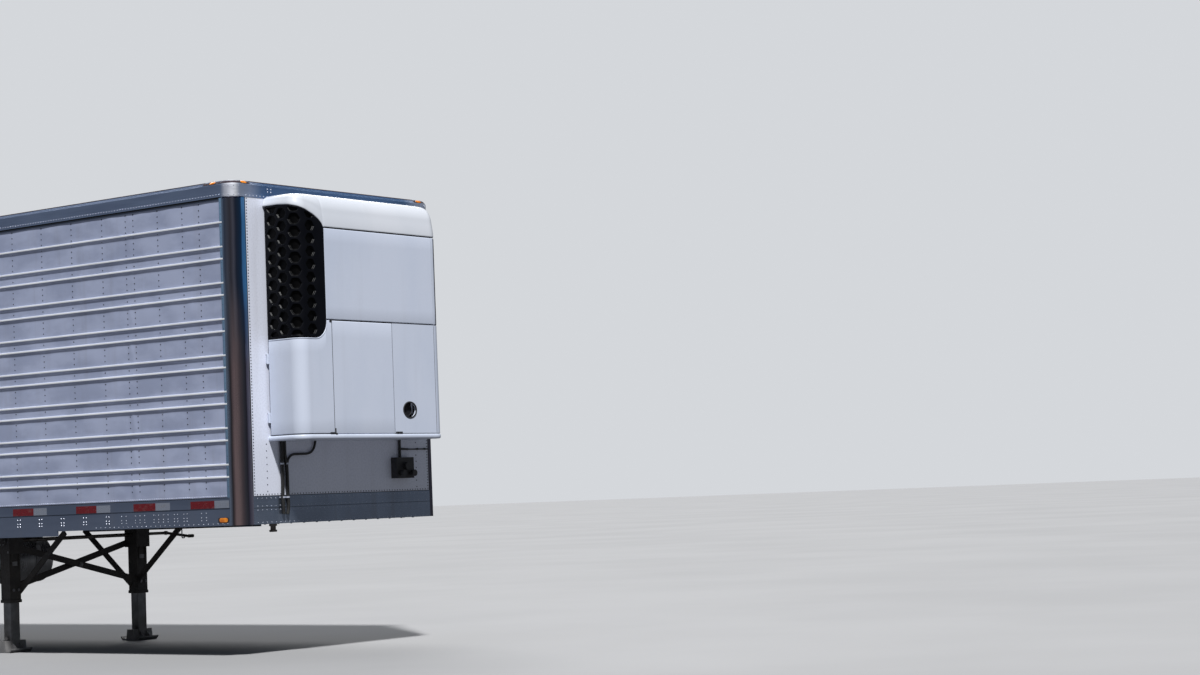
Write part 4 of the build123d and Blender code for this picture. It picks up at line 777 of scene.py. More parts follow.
UNIT_X = NOSE + 0.4
UNIT_Y = 0.93
UNIT_R = 0.115
SIDE_RUN = 0.4 - UNIT_R - 0.028
ARC_RUN = UNIT_R * pi / 2
FRONT_RUN = 2 * (UNIT_Y - UNIT_R)
ROUND = 2 * SIDE_RUN + 2 * ARC_RUN + FRONT_RUN
TRAY_TOP, LOWER_LOW, LOWER_TOP, UPPER_LOW, UPPER_TOP, CAP_LOW, CAP_TOP = (
    1.892, 1.898, 2.881, 2.887, 3.687, 3.69, 3.985
)
EDGE = 0.008


def along_front(y):
    """Distance round the unit's outline, from its curb side rear edge, to a place on its front."""
    return SIDE_RUN + ARC_RUN + y + UNIT_Y - UNIT_R


GRILLE_END = along_front(-0.593)
GRILLE_LOW = 2.73
GRILLE_CORNER = 0.14
GRILLE_BROW = np.array(
    [(0.0, 3.884), (0.15, 3.883), (0.28, 3.872), (0.36, 3.856), (0.45, 3.828), (0.54, 3.792),
     (0.6, 3.757), (0.64, 3.722), (0.6596, 3.686)]
)
GRILLE_COLUMNS = (0.078, 0.195, 0.328, 0.488)
GRILLE_PHASE = 3.638
SIGHT = (0.456, 2.107)
CELL_PITCH = 0.112
CELL_HALF = 0.0475


def outline_at(run, inset=0.0):
    """Point on the unit's rounded outline: straight sides and front joined by quarter circles."""
    u = np.abs(np.asarray(run, float) - ROUND / 2)
    hand = np.where(run < ROUND / 2, -1.0, 1.0)
    angle = np.clip((u - FRONT_RUN / 2) / ARC_RUN, 0, 1) * pi / 2
    side = np.maximum(u - FRONT_RUN / 2 - ARC_RUN, 0)
    radius = UNIT_R - inset
    x = UNIT_X - UNIT_R + radius * np.cos(angle) - side
    return x, hand * (np.minimum(u, FRONT_RUN / 2) + radius * np.sin(angle))


def bent_rings(run, levels):
    """Rings across a bent panel, one for each place along it, through its (inset, height) levels."""
    stack = []
    for inset, z in levels:
        x, y = outline_at(run, inset)
        stack.append(np.stack([x, y, z + 0 * x], axis=-1))
    return np.stack(stack, axis=1)


def panel_levels(run, low, high, thick=0.02, edge=EDGE, rows=8, relief=None):
    """Levels of a panel: rolled lower edge, outer face with its relief, rolled upper edge, inner face."""
    turn = np.linspace(0, pi / 2, 4)
    roll = [(edge * (1 - np.sin(a)), edge * (1 - np.cos(a))) for a in turn]
    levels = [(inset, low + rise) for inset, rise in roll]
    for t in np.linspace(0, 1, rows)[1:-1]:
        z = low + edge + (high - low - 2 * edge) * t
        levels.append((relief(run, z) if relief else 0.0, z))
    levels += [(inset, high - rise) for inset, rise in roll[::-1]]
    return levels + [(thick, high), (thick, low)]


def bent_panel(run, low, high, **shape):
    """A closed panel bent round the unit between two heights."""
    return capped(bent_rings(run, panel_levels(run, low + 0 * run, high + 0 * run, **shape)))


def grille_top(run):
    """Upper edge of the curb side grille: a smooth fall from the side face to its front end."""
    return np.interp(run, GRILLE_BROW[:, 0], GRILLE_BROW[:, 1])


def grille_low(run, gap=0.0):
    """Lower edge of the curb side grille: level, then a quarter circle up to its front end."""
    radius = GRILLE_CORNER + gap
    reach = np.clip((run - (GRILLE_END - GRILLE_CORNER)) / radius, 0, 1)
    return GRILLE_LOW - gap + radius * (1 - np.sqrt(np.maximum(0, 1 - reach ** 2)))


def honeycomb(run, z, columns, phase):
    """How deep into a cell each place is, 0 to 1: rounded six sided hollows on a staggered lattice."""
    deepest = 0.0 * (run + z)
    for index, centre in enumerate(columns):
        start = phase + (CELL_PITCH / 2 if index % 2 else 0.0)
        nearest = start + np.round((z - start) / CELL_PITCH) * CELL_PITCH
        du, dz = np.abs(run - centre) / 1.08, np.abs(z - nearest)
        hexagon = (dz ** 8 + (0.5 * dz + 0.866 * du) ** 8) ** 0.125
        inside = np.clip((CELL_HALF - hexagon) / 0.006, 0, 1)
        deepest = np.maximum(deepest, inside * inside * (3 - 2 * inside))
    return deepest


def build_grille(name, run, low, high, columns, phase, rows, settings, proud=0.0, **extra):
    """A moulded grille panel whose hollow cells stop short of its edges."""
    low, high = low + 0 * run, high + 0 * run

    def depth(z):
        limit = np.clip((np.minimum(z - low, high - z) - 0.014) / 0.006, 0, 1)
        return honeycomb(run, z, columns, phase) * limit

    levels = panel_levels(run, low, high, 0.0215, 0.005, rows, lambda _, z: settings.cell_depth * depth(z))
    face = range(4, len(levels) - 6)
    marks = [inset / settings.cell_depth * (n in face) + 0 * run for n, (inset, _) in enumerate(levels)]
    marks = np.stack(marks, axis=1)
    levels = [(inset - proud * (inset < 0.021), z) for inset, z in levels]
    ends = np.zeros((1, len(levels)))
    put(name, capped(bent_rings(run, levels)), "grille_black", smooth=89,
        marks={"cell": np.concatenate([ends, marks, ends]).ravel()}, **extra)


def build_unit_panels(settings):
    """The unit's grilles, fixed panels, a black panel of painted shade at the road side corner, and the curb
    side door panel.
    """
    run = np.linspace(0.0, GRILLE_END, 176)
    build_grille("grille_curb", run, grille_low(run), grille_top(run), GRILLE_COLUMNS, GRILLE_PHASE, 300,
        settings, replaces=("unit_grilles",))
    start = ROUND - SIDE_RUN + 0.003
    build_grille("grille_road", np.linspace(start, ROUND, 66), 2.75, UPPER_TOP, (start + 0.07, start + 0.19),
        3.3, 240, settings, proud=0.006)

    corner = along_front(0.815)
    run = np.linspace(along_front(-0.587), corner - 0.002, 30)
    put("upper_panel", bent_panel(run, UPPER_LOW + 0.002, UPPER_TOP - 0.001), "unit_white",
        replaces=("unit_upper_panel",))
    turn = ROUND - SIDE_RUN - 0.78 * ARC_RUN
    run = np.linspace(corner + 0.002, turn, 12)
    put("upper_corner_panel", bent_panel(run, UPPER_LOW, UPPER_TOP), "unit_white")
    # Painted shade: a plain black panel stands for the shade on the road side corner
    run = np.linspace(turn + 0.001, ROUND - SIDE_RUN + 0.004, 20)
    put("corner_shade_panel", bent_panel(run, UPPER_LOW, UPPER_TOP), "grille_black")
    profile = [(0, -0.045), (0.01, -0.045), (0.0125, -0.042), (0.0125, 0.042), (0.01, 0.045), (0, 0.045)]
    spots = [(NOSE + 0.0135, side * 0.9305, z) for side in SIDES.values() for z in (2.05, 2.56)]
    hinges = copies(lathe(profile, 16), spots)
    put("door_hinge_covers", hinges, "unit_white")
    run = np.linspace(along_front(-0.5205), along_front(0.2455), 20)
    put("centre_panel", bent_panel(run, 1.894, LOWER_TOP - 0.001), "unit_white",
        replaces=("unit_centre_panel",))

    bend = GRILLE_CORNER + 0.006
    run = np.concatenate([np.linspace(0, GRILLE_END - GRILLE_CORNER, 40),
        GRILLE_END - GRILLE_CORNER + bend * np.sin(np.linspace(0.05, pi / 2, 24)),
        np.linspace(along_front(-0.582), along_front(-0.5295), 6)])
    top = np.where(run > GRILLE_END + 0.0055, LOWER_TOP, np.minimum(grille_low(run, 0.006), LOWER_TOP))
    door = bent_panel(run, LOWER_LOW, top)
    run = np.concatenate([np.linspace(0.004, GRILLE_END - GRILLE_CORNER, 40),
        GRILLE_END - GRILLE_CORNER + bend * np.sin(np.linspace(0.05, pi / 2 - 0.16, 20))])
    x, y = outline_at(run, 0.0015)
    bead = tube(np.stack([x, y, grille_low(run, 0.006) - 0.0055], axis=-1), 0.005, 10)
    put("door_panel_curb", [door, bead], "unit_white", body="unit_door_curb", replaces=("unit_door_curb",))
    x, y = outline_at(np.full(2, along_front(-0.5845)), 0.002)
    put("grille_trim", [tube(np.stack([x, y, [UPPER_LOW + 0.008, UPPER_TOP - 0.008]], axis=-1), 0.0042, 10)],
        "unit_white")


def build_unit_seals():
    """Black seals sunk in the gaps between the unit's panels."""
    def band(start, end, low, high):
        near, count = (along_front(start), 40) if start > -2 else (0.002, 60)
        run = np.linspace(near, along_front(end), count)
        levels = ((0.0035, low), (0.0035, high), (0.018, high), (0.018, low))
        return capped(bent_rings(run, levels))

    far = ROUND - along_front(0) - 0.002
    meshes = [
        band(-0.529, -0.521, 1.896, LOWER_TOP),
        band(0.246, 0.2525, 1.896, LOWER_TOP),
        band(-0.5275, far, LOWER_TOP + 0.0005, UPPER_LOW - 0.0005),
        band(-0.586, 0.82, UPPER_TOP - 0.0007, CAP_LOW + 0.0055),
        band(-9, -0.5275, TRAY_TOP + 0.0005, LOWER_LOW - 0.0005),
        band(0.2525, far, TRAY_TOP + 0.0005, LOWER_LOW - 0.0005),
        band(0.8135, 0.8165, UPPER_LOW, UPPER_TOP),
    ]
    put("unit_seals", meshes, "seal_black")


def build_unit_cap():
    """The cap: a rolled lower edge, a face that leans in slightly, then a quarter ellipse to the top."""
    run = np.concatenate([np.linspace(-0.025, GRILLE_END + 0.003, 60),
        np.linspace(GRILLE_END + 0.006, ROUND + 0.025, 90)])
    low = np.where(run < GRILLE_END + 0.0045, grille_top(run) + 0.004, CAP_LOW + 0.006)
    radius = 0.12
    foot = low + 0.012
    levels = [(0.022, low), (0.005, low), (0.0015, low + 0.0015), (0.0, low + 0.005)]
    shoulder = foot + (CAP_TOP - foot) * 0.46
    for share in np.linspace(0, 1, 5)[:-1]:
        levels.append((0.014 * share ** 1.4, foot + (shoulder - foot) * share))
    for angle in np.linspace(0, pi / 2, 16):
        inset = 0.014 + 0.01 * np.sin(angle) + (radius - 0.024) * (1 - np.cos(angle))
        levels.append((inset, shoulder + (CAP_TOP - shoulder) * np.sin(angle)))
    outer = bent_rings(run, levels)
    bend = np.abs(np.abs(run - ROUND / 2) - FRONT_RUN / 2 - ARC_RUN / 2)
    outer[:, -8:, 2] -= np.exp(-((bend / 0.1) ** 2))[:, None] * np.linspace(0, 0.013, 8)
    backs = []
    for share, level in ((0.7, 0), (0.4, 0), (0.15, 0), (0.0, 0), (0.0, 1), (0.5, 1), (1.0, 1)):
        inner = (0.045, np.maximum(low + 0.01, 3.84))
        ring = bent_rings(run, [(radius, CAP_TOP + 0.006 * (1 - share)), inner])[:, level].copy()
        ring[:, 0] = NOSE + 0.003 + (ring[:, 0] - NOSE - 0.003) * share
        backs.append(ring)
    rings = np.concatenate([outer, np.stack(backs, axis=1)], axis=1)
    put("unit_cap_shell", capped(rings), "cap_white", replaces=("unit_cap",))


def build_tray():
    """The tray: a lip with a full round nose carried round the unit's outline."""
    run = np.linspace(-0.028, ROUND + 0.028, 160)
    nose = [(-0.01 * sin(a) + 0.004, 1.871 - 0.021 * cos(a)) for a in np.linspace(0, pi, 9)]
    levels = [(0.05, 1.85), *nose, (0.05, TRAY_TOP)]
    outer = bent_rings(run, levels)
    back = bent_rings(run, [(0.05, TRAY_TOP), (0.05, 1.85)])
    back[:, :, 0] = NOSE + 0.001
    put("tray_lip", capped(np.concatenate([outer, back], axis=1)), "unit_white", replaces=("unit_tray",))


def build_unit_fittings():
    """Latches at the foot of the seams, the side handle and the oval sight hole's rim and dial."""
    front = UNIT_X
    put("seam_latch", [block((front - 0.003, -0.5215, 1.897), (front + 0.006, -0.5125, 1.944), 0.002),
        block((front - 0.003, -0.5235, 1.893), (front + 0.008, -0.494, 1.902), 0.002)], "black_plastic")
    put("door_latch_curb", [block((front - 0.002, -0.585, 1.9), (front + 0.007, -0.529, 1.909), 0.002),
        block((front - 0.002, -0.556, 2.866), (front + 0.004, -0.529, 2.88), 0.002)], "black_plastic",
        body="unit_door_curb")
    put("door_latch_road", [block((front - 0.002, 0.257, 1.9), (front + 0.007, 0.345, 1.911), 0.002),
        block((NOSE + 0.15, UNIT_Y - 0.001, 2.19), (NOSE + 0.182, UNIT_Y + 0.014, 2.268), 0.005),
        block((NOSE + 0.158, UNIT_Y + 0.01, 2.15), (NOSE + 0.174, UNIT_Y + 0.02, 2.23), 0.004),
        oval_rim(front, *SIGHT, 0.0865, 0.0705, 0.0065)], "black_plastic", body="unit_door_road")
    dial = lathe([(0, -0.004), (0.058, -0.004), (0.06, 0.0), (0.054, 0.004), (0.05, -0.001), (0, 0.003)], 32,
        axis=0)
    put("sight_dial", [copies(dial, [(front - 0.034, *SIGHT)])], "seal_black", body="unit_door_road")
    line = np.stack([*outline_at(np.full(2, along_front(0.815)), -0.0002), [1.904, 2.876]], axis=-1)
    put("door_seam_road", [tube(line, 0.0016, 6)], "seal_black", body="unit_door_road")


def oval_rim(x, y, z, wide, tall, radius):
    """A rounded rim laid round an oval hole in a face that looks forward."""
    angle = np.linspace(0, 2 * pi, 41)[:-1]
    turn = np.linspace(0, 2 * pi, 9)[:-1]
    out = np.stack([0 * angle, np.cos(angle), np.sin(angle)], axis=-1)
    size = np.array([1.0, wide, tall])
    ring = out * size
    points = ring[:, None] + radius * (np.cos(turn)[None, :, None] * out[:, None] +
        np.sin(turn)[None, :, None] * np.array([1.0, 0, 0]))
    return looped(points + np.array([x, y, z]))


# Front wall and its fittings

POST_R = 0.115


def build_front_wall():
    """Rivets and seams of the front wall, the header and the kick plates."""
    ahead = (1, 0, 0)
    meshes = []
    for side in SIDES.values():
        column = grid_places(NOSE + 0.0002, side * 1.119, np.arange(1.4, 3.955, 0.026))
        meshes.append(rivets(column, ahead, 0.0062, 0.0034, 6))
        inner = grid_places(NOSE + 0.0002, side * 0.965, np.arange(1.42, 1.86, 0.058))
        meshes.append(rivets(inner, ahead, 0.0062, 0.003, 6))
    meshes.append(rivets(grid_places(NOSE + 0.0002, np.arange(-1.09, 1.1, 0.035), 1.395), ahead, 0.006,
        0.0032))
    # Front wall rivets in painted shade
    put("front_rivets", meshes, "rivet_shaded", slot="white_panel")

    meshes = [rivets(grid_places(NOSE + 0.0032, np.arange(-1.12, 1.13, 0.042), 3.975), ahead, 0.0062, 0.0032)]
    meshes.append(rivets(grid_places(NOSE + 0.0032, (-0.86, -0.82), (4.02, 4.045)), ahead, 0.0068, 0.0035))
    for z in (1.362, 1.296, 1.262, 1.156):
        meshes.append(rivets(grid_places(NOSE + 0.0022, np.arange(-1.09, 1.1, 0.0545), z), ahead, 0.004,
            0.0016))
    for side in SIDES.values():
        angles = np.radians([12, 35, 58, 80])
        for z in (3.975, 4.052):
            for angle in angles:
                normal = (cos(angle), side * sin(angle), 0)
                spot = (
                    NOSE - POST_R + (POST_R + 0.003) * cos(angle),
                    side * (HALF - POST_R + POST_R * sin(angle)),
                    z,
                )
                meshes.append(rivets([spot], normal, 0.0062, 0.0035))
    put("header_rivets", meshes, "rivet_bright", slot="slate_rail")

    seams = [block((NOSE - 0.002, side * 1.1325, 1.382), (NOSE + 0.0016, side * 1.1405, 3.958), 0.001)
        for side in SIDES.values()]
    seams += [
        block((NOSE - 0.001, -1.134, 1.2785), (NOSE + 0.0025, 1.134, 1.2815), 0.0008),
        block((NOSE - 0.001, -1.134, 1.38), (NOSE + 0.0022, 1.134, 1.3845), 0.0008),
    ]
    put("front_seams", seams, "seal_black", slot="white_panel")


def roof_edge(run):
    """Point and outward direction at the header's upper edge, by distance from the middle of the front.

    A straight front, a quarter circle round each corner and straight sides, as the header runs.
    """
    front, arc = HALF - POST_R - 0.003, (POST_R + 0.003) * pi / 2
    far = np.abs(run)
    angle = np.clip((far - front) / arc, 0, 1) * pi / 2
    hand = np.sign(run)
    out = np.stack([np.cos(angle), hand * np.sin(angle), 0 * run], axis=-1)
    middle = np.stack([NOSE - POST_R - np.maximum(far - front - arc, 0), hand * np.minimum(far, front),
        0 * run], axis=-1)
    return middle + (POST_R + 0.003) * out, out


def edge_strip(runs, low, high, proud):
    """A thin strip laid on the roof edge's bevel between two shares of its width."""
    place, out = roof_edge(runs)
    up = np.array([0, 0, 1.0])
    bevel, lift = 0.036, proud / 2 ** 0.5
    rings = []
    for share, rise in ((low, -lift), (low, lift), (high, lift), (high, -lift)):
        rings.append(place - out * (bevel * share - rise) + up * (4.068 + bevel * share + rise))
    return capped(np.stack(rings, axis=1))


CASTING = (
    (0.0012, 3.9606), (0.0014, 3.975), (0.0014, 4.062), (0.0008, 4.0675), (-0.0345, 4.1032),
    (-0.036, 4.103), (-0.006, 4.066), (-0.006, 3.9606),
)


def build_roof_edge():
    """Corner castings of the header, and dark strips on the roof edge's bevel round them and along the roof's
    edge.
    """
    corners = []
    for side in SIDES.values():
        place, out = roof_edge(side * np.linspace(1.15, 1.372, 30))
        up = np.array([0, 0, 1.0])
        rings = [place + out * inset + up * z for inset, z in CASTING]
        corners.append(capped(np.stack(rings, axis=1)))
    put("header_corners", corners, "satin_rail")
    # Dark strips on the roof edge's bevel, wider round the corners
    strips = []
    for side in SIDES.values():
        strips += [
            edge_strip(side * np.linspace(1.065, 1.6, 40), 0.22, 0.74, 0.0035),
            edge_strip(side * np.array([1.6, 17.3]), 0.8, 0.97, 0.0022),
        ]
    strips.append(edge_strip(np.array([-1.065, 1.065]), 0.78, 0.97, 0.0022))
    put("roof_edge_dark_strips", strips, "edge_brown")


def lamp_on(spot, normal, along, width, height, depth):
    """A marker lamp: a black foot, a domed ribbed lens and two screws, laid along a direction."""
    n, a = Vector(normal).normalized(), Vector(along).normalized()
    frame_matrix = np.array(Matrix((a, n.cross(a), n)).transposed())
    foot = pad(rounded_outline(width, height, height * 0.35, 4), 0, depth * 0.45, 0.0012)
    outline = rounded_outline(width * 0.74, height * 0.84, height * 0.38, 5)
    steps = ((1.0, 0.4), (1.0, 0.72), (0.93, 0.88), (0.78, 0.97), (0.4, 1.0))
    rings = [np.column_stack([outline * k, np.full(len(outline), depth * z)]) for k, z in steps]
    lens = capped(np.stack(rings))
    screws = copies(bolt(0.0028, 0.0016), [(s * width * 0.43, 0, depth * 0.45) for s in (-1, 1)])
    return [copies(part, [spot], frame_matrix) for part in (foot, lens, screws)]


def build_marker_lamps():
    """Amber lamps at the roof corners, low at the front corners and half way along the base rails."""
    feet, lenses = [], []
    for side in SIDES.values():
        rows = (
            ((NOSE - 0.24, side * 1.2775, 4.086), (0, side, 1), (1, 0, 0), 0.092, 0.034, 0.0085),
            ((NOSE - 0.015, side * 1.134, 4.086), (1, 0, 1), (0, 1, 0), 0.092, 0.034, 0.0085),
            ((NOSE - 0.208, side * BAND, 1.188), (0, side, 0), (1, 0, 0), 0.135, 0.044, 0.0042),
            ((NOSE - 8.133, side * BAND, 1.188), (0, side, 0), (1, 0, 0), 0.135, 0.044, 0.0042),
        )
        for row in rows:
            foot, lens, screws = lamp_on(*row)
            feet += [foot, screws]
            lenses.append(lens)
    put("marker_lenses", lenses, "amber_lens", replaces=("marker_lamps",))
    put("marker_feet", feet, "black_plastic")


def build_front_lines():
    """Hose runs with their clamps, and wiring leads on the wall with their clips."""
    clamps = []
    x = NOSE + 0.02
    straight = smooth_path([(x, -0.8, 1.862), (x, -0.8, 1.5), (x, -0.806, 1.34), (x, -0.798, 1.222)], 0.05)
    bowed = smooth_path([(x, -0.766, 1.862), (x, -0.766, 1.735), (x, -0.744, 1.63), (x, -0.742, 1.36),
        (x, -0.734, 1.29), (x, -0.752, 1.218)], 0.04)
    branch = smooth_path([(x, -0.742, 1.56), (x, -0.738, 1.735), (x, -0.4, 1.74), (x, -0.38, 1.862)], 0.105,
        9)
    put("hose_run", [tube(straight, 0.0158, 12), tube(bowed, 0.015, 12), tube(branch, 0.0108, 12)],
        "hose_rubber", replaces=("unit_hoses",))
    for z in (1.655, 1.365):
        for y in (-0.8, -0.744):
            ring = lathe([(0.015, -0.007), (0.019, -0.007), (0.019, 0.007), (0.015, 0.007), (0.015, -0.007)],
                16)
            clamps.append(copies(ring, [(NOSE + 0.02, y, z)]))
        clamps += [
            block((NOSE, -0.828, z - 0.006), (NOSE + 0.008, -0.707, z + 0.006), 0.001),
            copies(bolt(0.004, 0.003, 0.0008), [(NOSE + 0.008, -0.7675, z)], facing((1, 0, 0))),
        ]
    put("hose_clamps", clamps, "rivet_bright")

    lead = smooth_path([(NOSE + 0.01, 0.735, 1.846), (NOSE + 0.01, 0.735, 1.7)], 0.01)
    put("socket_lead", [tube(lead, 0.009, 10)], "hose_rubber")
    branch = smooth_path([(NOSE + 0.008, 0.742, 1.775), (NOSE + 0.008, 0.9, 1.765),
        (NOSE + 0.008, 1.1, 1.765)], 0.02)
    put("wall_lead", [tube(branch, 0.005, 8)], "hose_rubber")
    clips = [block((NOSE, y - 0.008, 1.757), (NOSE + 0.0145, y + 0.008, 1.775), 0.002)
        for y in (0.84, 0.98, 1.08)]
    put("lead_clips", clips, "black_plastic")


# Wheels

TYRE_R = 0.514
DUALS = (1.1555, 0.8115)
DISC_Y = 0.9835
NUT_CIRCLE = 0.1429
TREAD_GROOVES = (-0.078, -0.027, 0.027, 0.078)
TYRE_PROFILE = np.array(
    [(-0.1, 0.2925), (-0.112, 0.297), (-0.119, 0.31), (-0.124, 0.322), (-0.123, 0.33), (-0.129, 0.345),
     (-0.1355, 0.372), (-0.1385, 0.395), (-0.1372, 0.398), (-0.1398, 0.402), (-0.14, 0.42),
     (-0.1392, 0.44), (-0.1376, 0.443), (-0.138, 0.449), (-0.135, 0.47), (-0.13, 0.49)]
)


def tyre_section():
    """Half-open profile of a tyre, (across, radius), with its ribbed tread and four grooves."""
    tread = [(-0.1245, 0.5035), (-0.12, 0.508)]
    for groove in TREAD_GROOVES:
        tread += [(groove - 0.0062, 0), (groove - 0.0045, -0.0125), (groove + 0.0045, -0.0125),
            (groove + 0.0062, 0)]
    tread += [(0.12, 0.508), (0.1245, 0.5035)]
    points = [(w, r) if r > 0.1 else (w, TYRE_R - 0.0058 * (w / 0.12) ** 2 + r) for w, r in tread]
    side = TYRE_PROFILE
    return np.concatenate([side, points, side[::-1] * (-1, 1)])


def tyre(y):
    """A tyre round its axle: the section carried round, with sipes across the ribs and shoulder notches.

    The radius drops on narrow slots that repeat round the tread: long ones on the shoulders and short
    ones, offset rib by rib, on the ribs between the grooves.
    """
    section = tyre_section()
    count = 180
    angle = np.linspace(0, 2 * pi, count, endpoint=False)[:, None]
    across, radius = section[:, 0][None], section[:, 1][None]
    slot = np.arange(count)[:, None] % 4 == 0
    shoulder = (np.abs(across) > 0.085) & (radius > 0.486)
    rib = (np.abs(across) < 0.085) & (radius > TYRE_R - 0.006)
    row = np.searchsorted(TREAD_GROOVES, across)
    offset = (np.arange(count)[:, None] + row * 2) % 4 == 0
    sunk = radius - 0.006 * (shoulder & slot) - 0.0035 * (rib & offset)
    points = np.stack([sunk * np.cos(angle), across + 0 * angle, sunk * np.sin(angle)], axis=-1)
    return looped(points + np.array([0, y, 0]))


def ring_places(radius, count, start=0.0):
    """Places spread evenly round an axle, in its own plane."""
    angle = np.linspace(0, 2 * pi, count, endpoint=False) + start
    return np.stack([radius * np.cos(angle), 0 * angle, radius * np.sin(angle)], axis=-1)


def build_wheels():
    """Treaded tyres, nuts, hub caps with their bolts, and valves for every wheel."""
    pair = {y: tyre(y) for y in DUALS}
    for (axle, x), (name, side) in product(AXLES.items(), SIDES.items()):
        centre = np.array([x, 0, AXLE_Z])
        body = f"wheels_{axle}_{name}"
        flip = np.array([1, side, 1])
        tyres = [(points * flip + centre, quads) for points, quads in pair.values()]
        put(f"treads_{axle}_{name}", tyres, "tread_rubber", body=body, replaces=(f"tyres_{axle}_{name}",),
            smooth=30)
        out = facing((0, side, 0))

        def at(places, depth):
            return places + np.array([0, side * depth, 0]) + centre

        nut = lathe([(0.0, 0.0), (0.0225, 0.0), (0.0225, 0.004), (0.0185, 0.005)], 12)
        hexagon = lathe([(0, 0.004), (0.0165, 0.004), (0.0165, 0.021), (0.0148, 0.0235), (0.011, 0.0242),
            (0, 0.0242)], 6)
        stud = lathe([(0, 0.02), (0.0098, 0.02), (0.0098, 0.033), (0.0085, 0.0345), (0, 0.0345)], 10)
        places = at(ring_places(NUT_CIRCLE, 10, pi / 10), DISC_Y + 0.0055)
        nuts = [copies(part, places, out) for part in (nut, hexagon, stud)]
        put(f"wheel_nuts_{axle}_{name}", nuts, "nut_steel", body=body)

        cap = lathe([(0.0, 0.0), (0.066, 0.0), (0.071, -0.004), (0.0745, -0.012), (0.0745, -0.028),
            (0.088, -0.03), (0.088, -0.037), (0.0, -0.037)], 40)
        window = lathe([(0.0, 0.004), (0.018, 0.004), (0.022, 0.001), (0.03, 0.0015), (0.033, -0.001),
            (0.0, -0.001)], 24)
        plug = lathe([(0, 0.004), (0.0075, 0.004), (0.0075, 0.01), (0.006, 0.0115), (0, 0.0115)], 8)
        meshes = [copies(part, at(np.zeros((1, 3)), 1.149), out) for part in (cap, window, plug)]
        bolts = at(ring_places(0.081, 6), 1.119)
        meshes.append(copies(bolt(0.0068, 0.007, 0.0015), bolts, out))
        put(f"hub_cap_{axle}_{name}", meshes, "tank_metal", body=body)

        valve = at(np.array([[0.0, 0, 0.262]]), 0)
        stem = smooth_path(valve + np.array([(0, side * 1.035, 0.018), (0, side * 1.06, -0.004),
            (0, side * 1.15, -0.03)]), 0.008)
        tip = smooth_path(valve + np.array([(0, side * 1.15, -0.03), (0, side * 1.166, -0.034)]), 0.001)
        put(f"valve_{axle}_{name}", [tube(stem, 0.0036, 8), tube(tip, 0.0052, 8)], "zinc", body=body,
            slot="bright_steel")


# Running gear and fittings below the floor

LEG_X = NOSE - 3.65
LEG_Y = 0.8
SHAFT_Z = 1.06
BRACE_Z = 0.794
FOOT_PIN_Z = 0.128
TANK_X = NOSE - 4.8
TANK_Z = 0.85
AIR_TANK_R = 0.105
AIR_TANK_Z = 0.905
COUPLER_Z = 1.14
PIVOT_AHEAD = 0.48


def plate(outline, low, high, axis, bevel=0.0012):
    """A flat plate: an outline of (second, third) coordinates round the axis, between two depths."""
    return turned(pad(outline, low, high, bevel), axis)


def bolts_at(places, normal, radius=0.011, height=0.009):
    """Hexagon heads with washers on a face that looks along the normal."""
    return copies(bolt(radius, height, 0.0022), places, facing(normal))


def band(radius, half, thick, spot, sides=32, axis=1):
    """A flat ring round an axis, centred on a spot."""
    profile = [(radius - 0.004, -half), (radius + thick, -half), (radius + thick, half),
        (radius - 0.004, half)]
    return copies(lathe(profile, sides, axis), [spot])


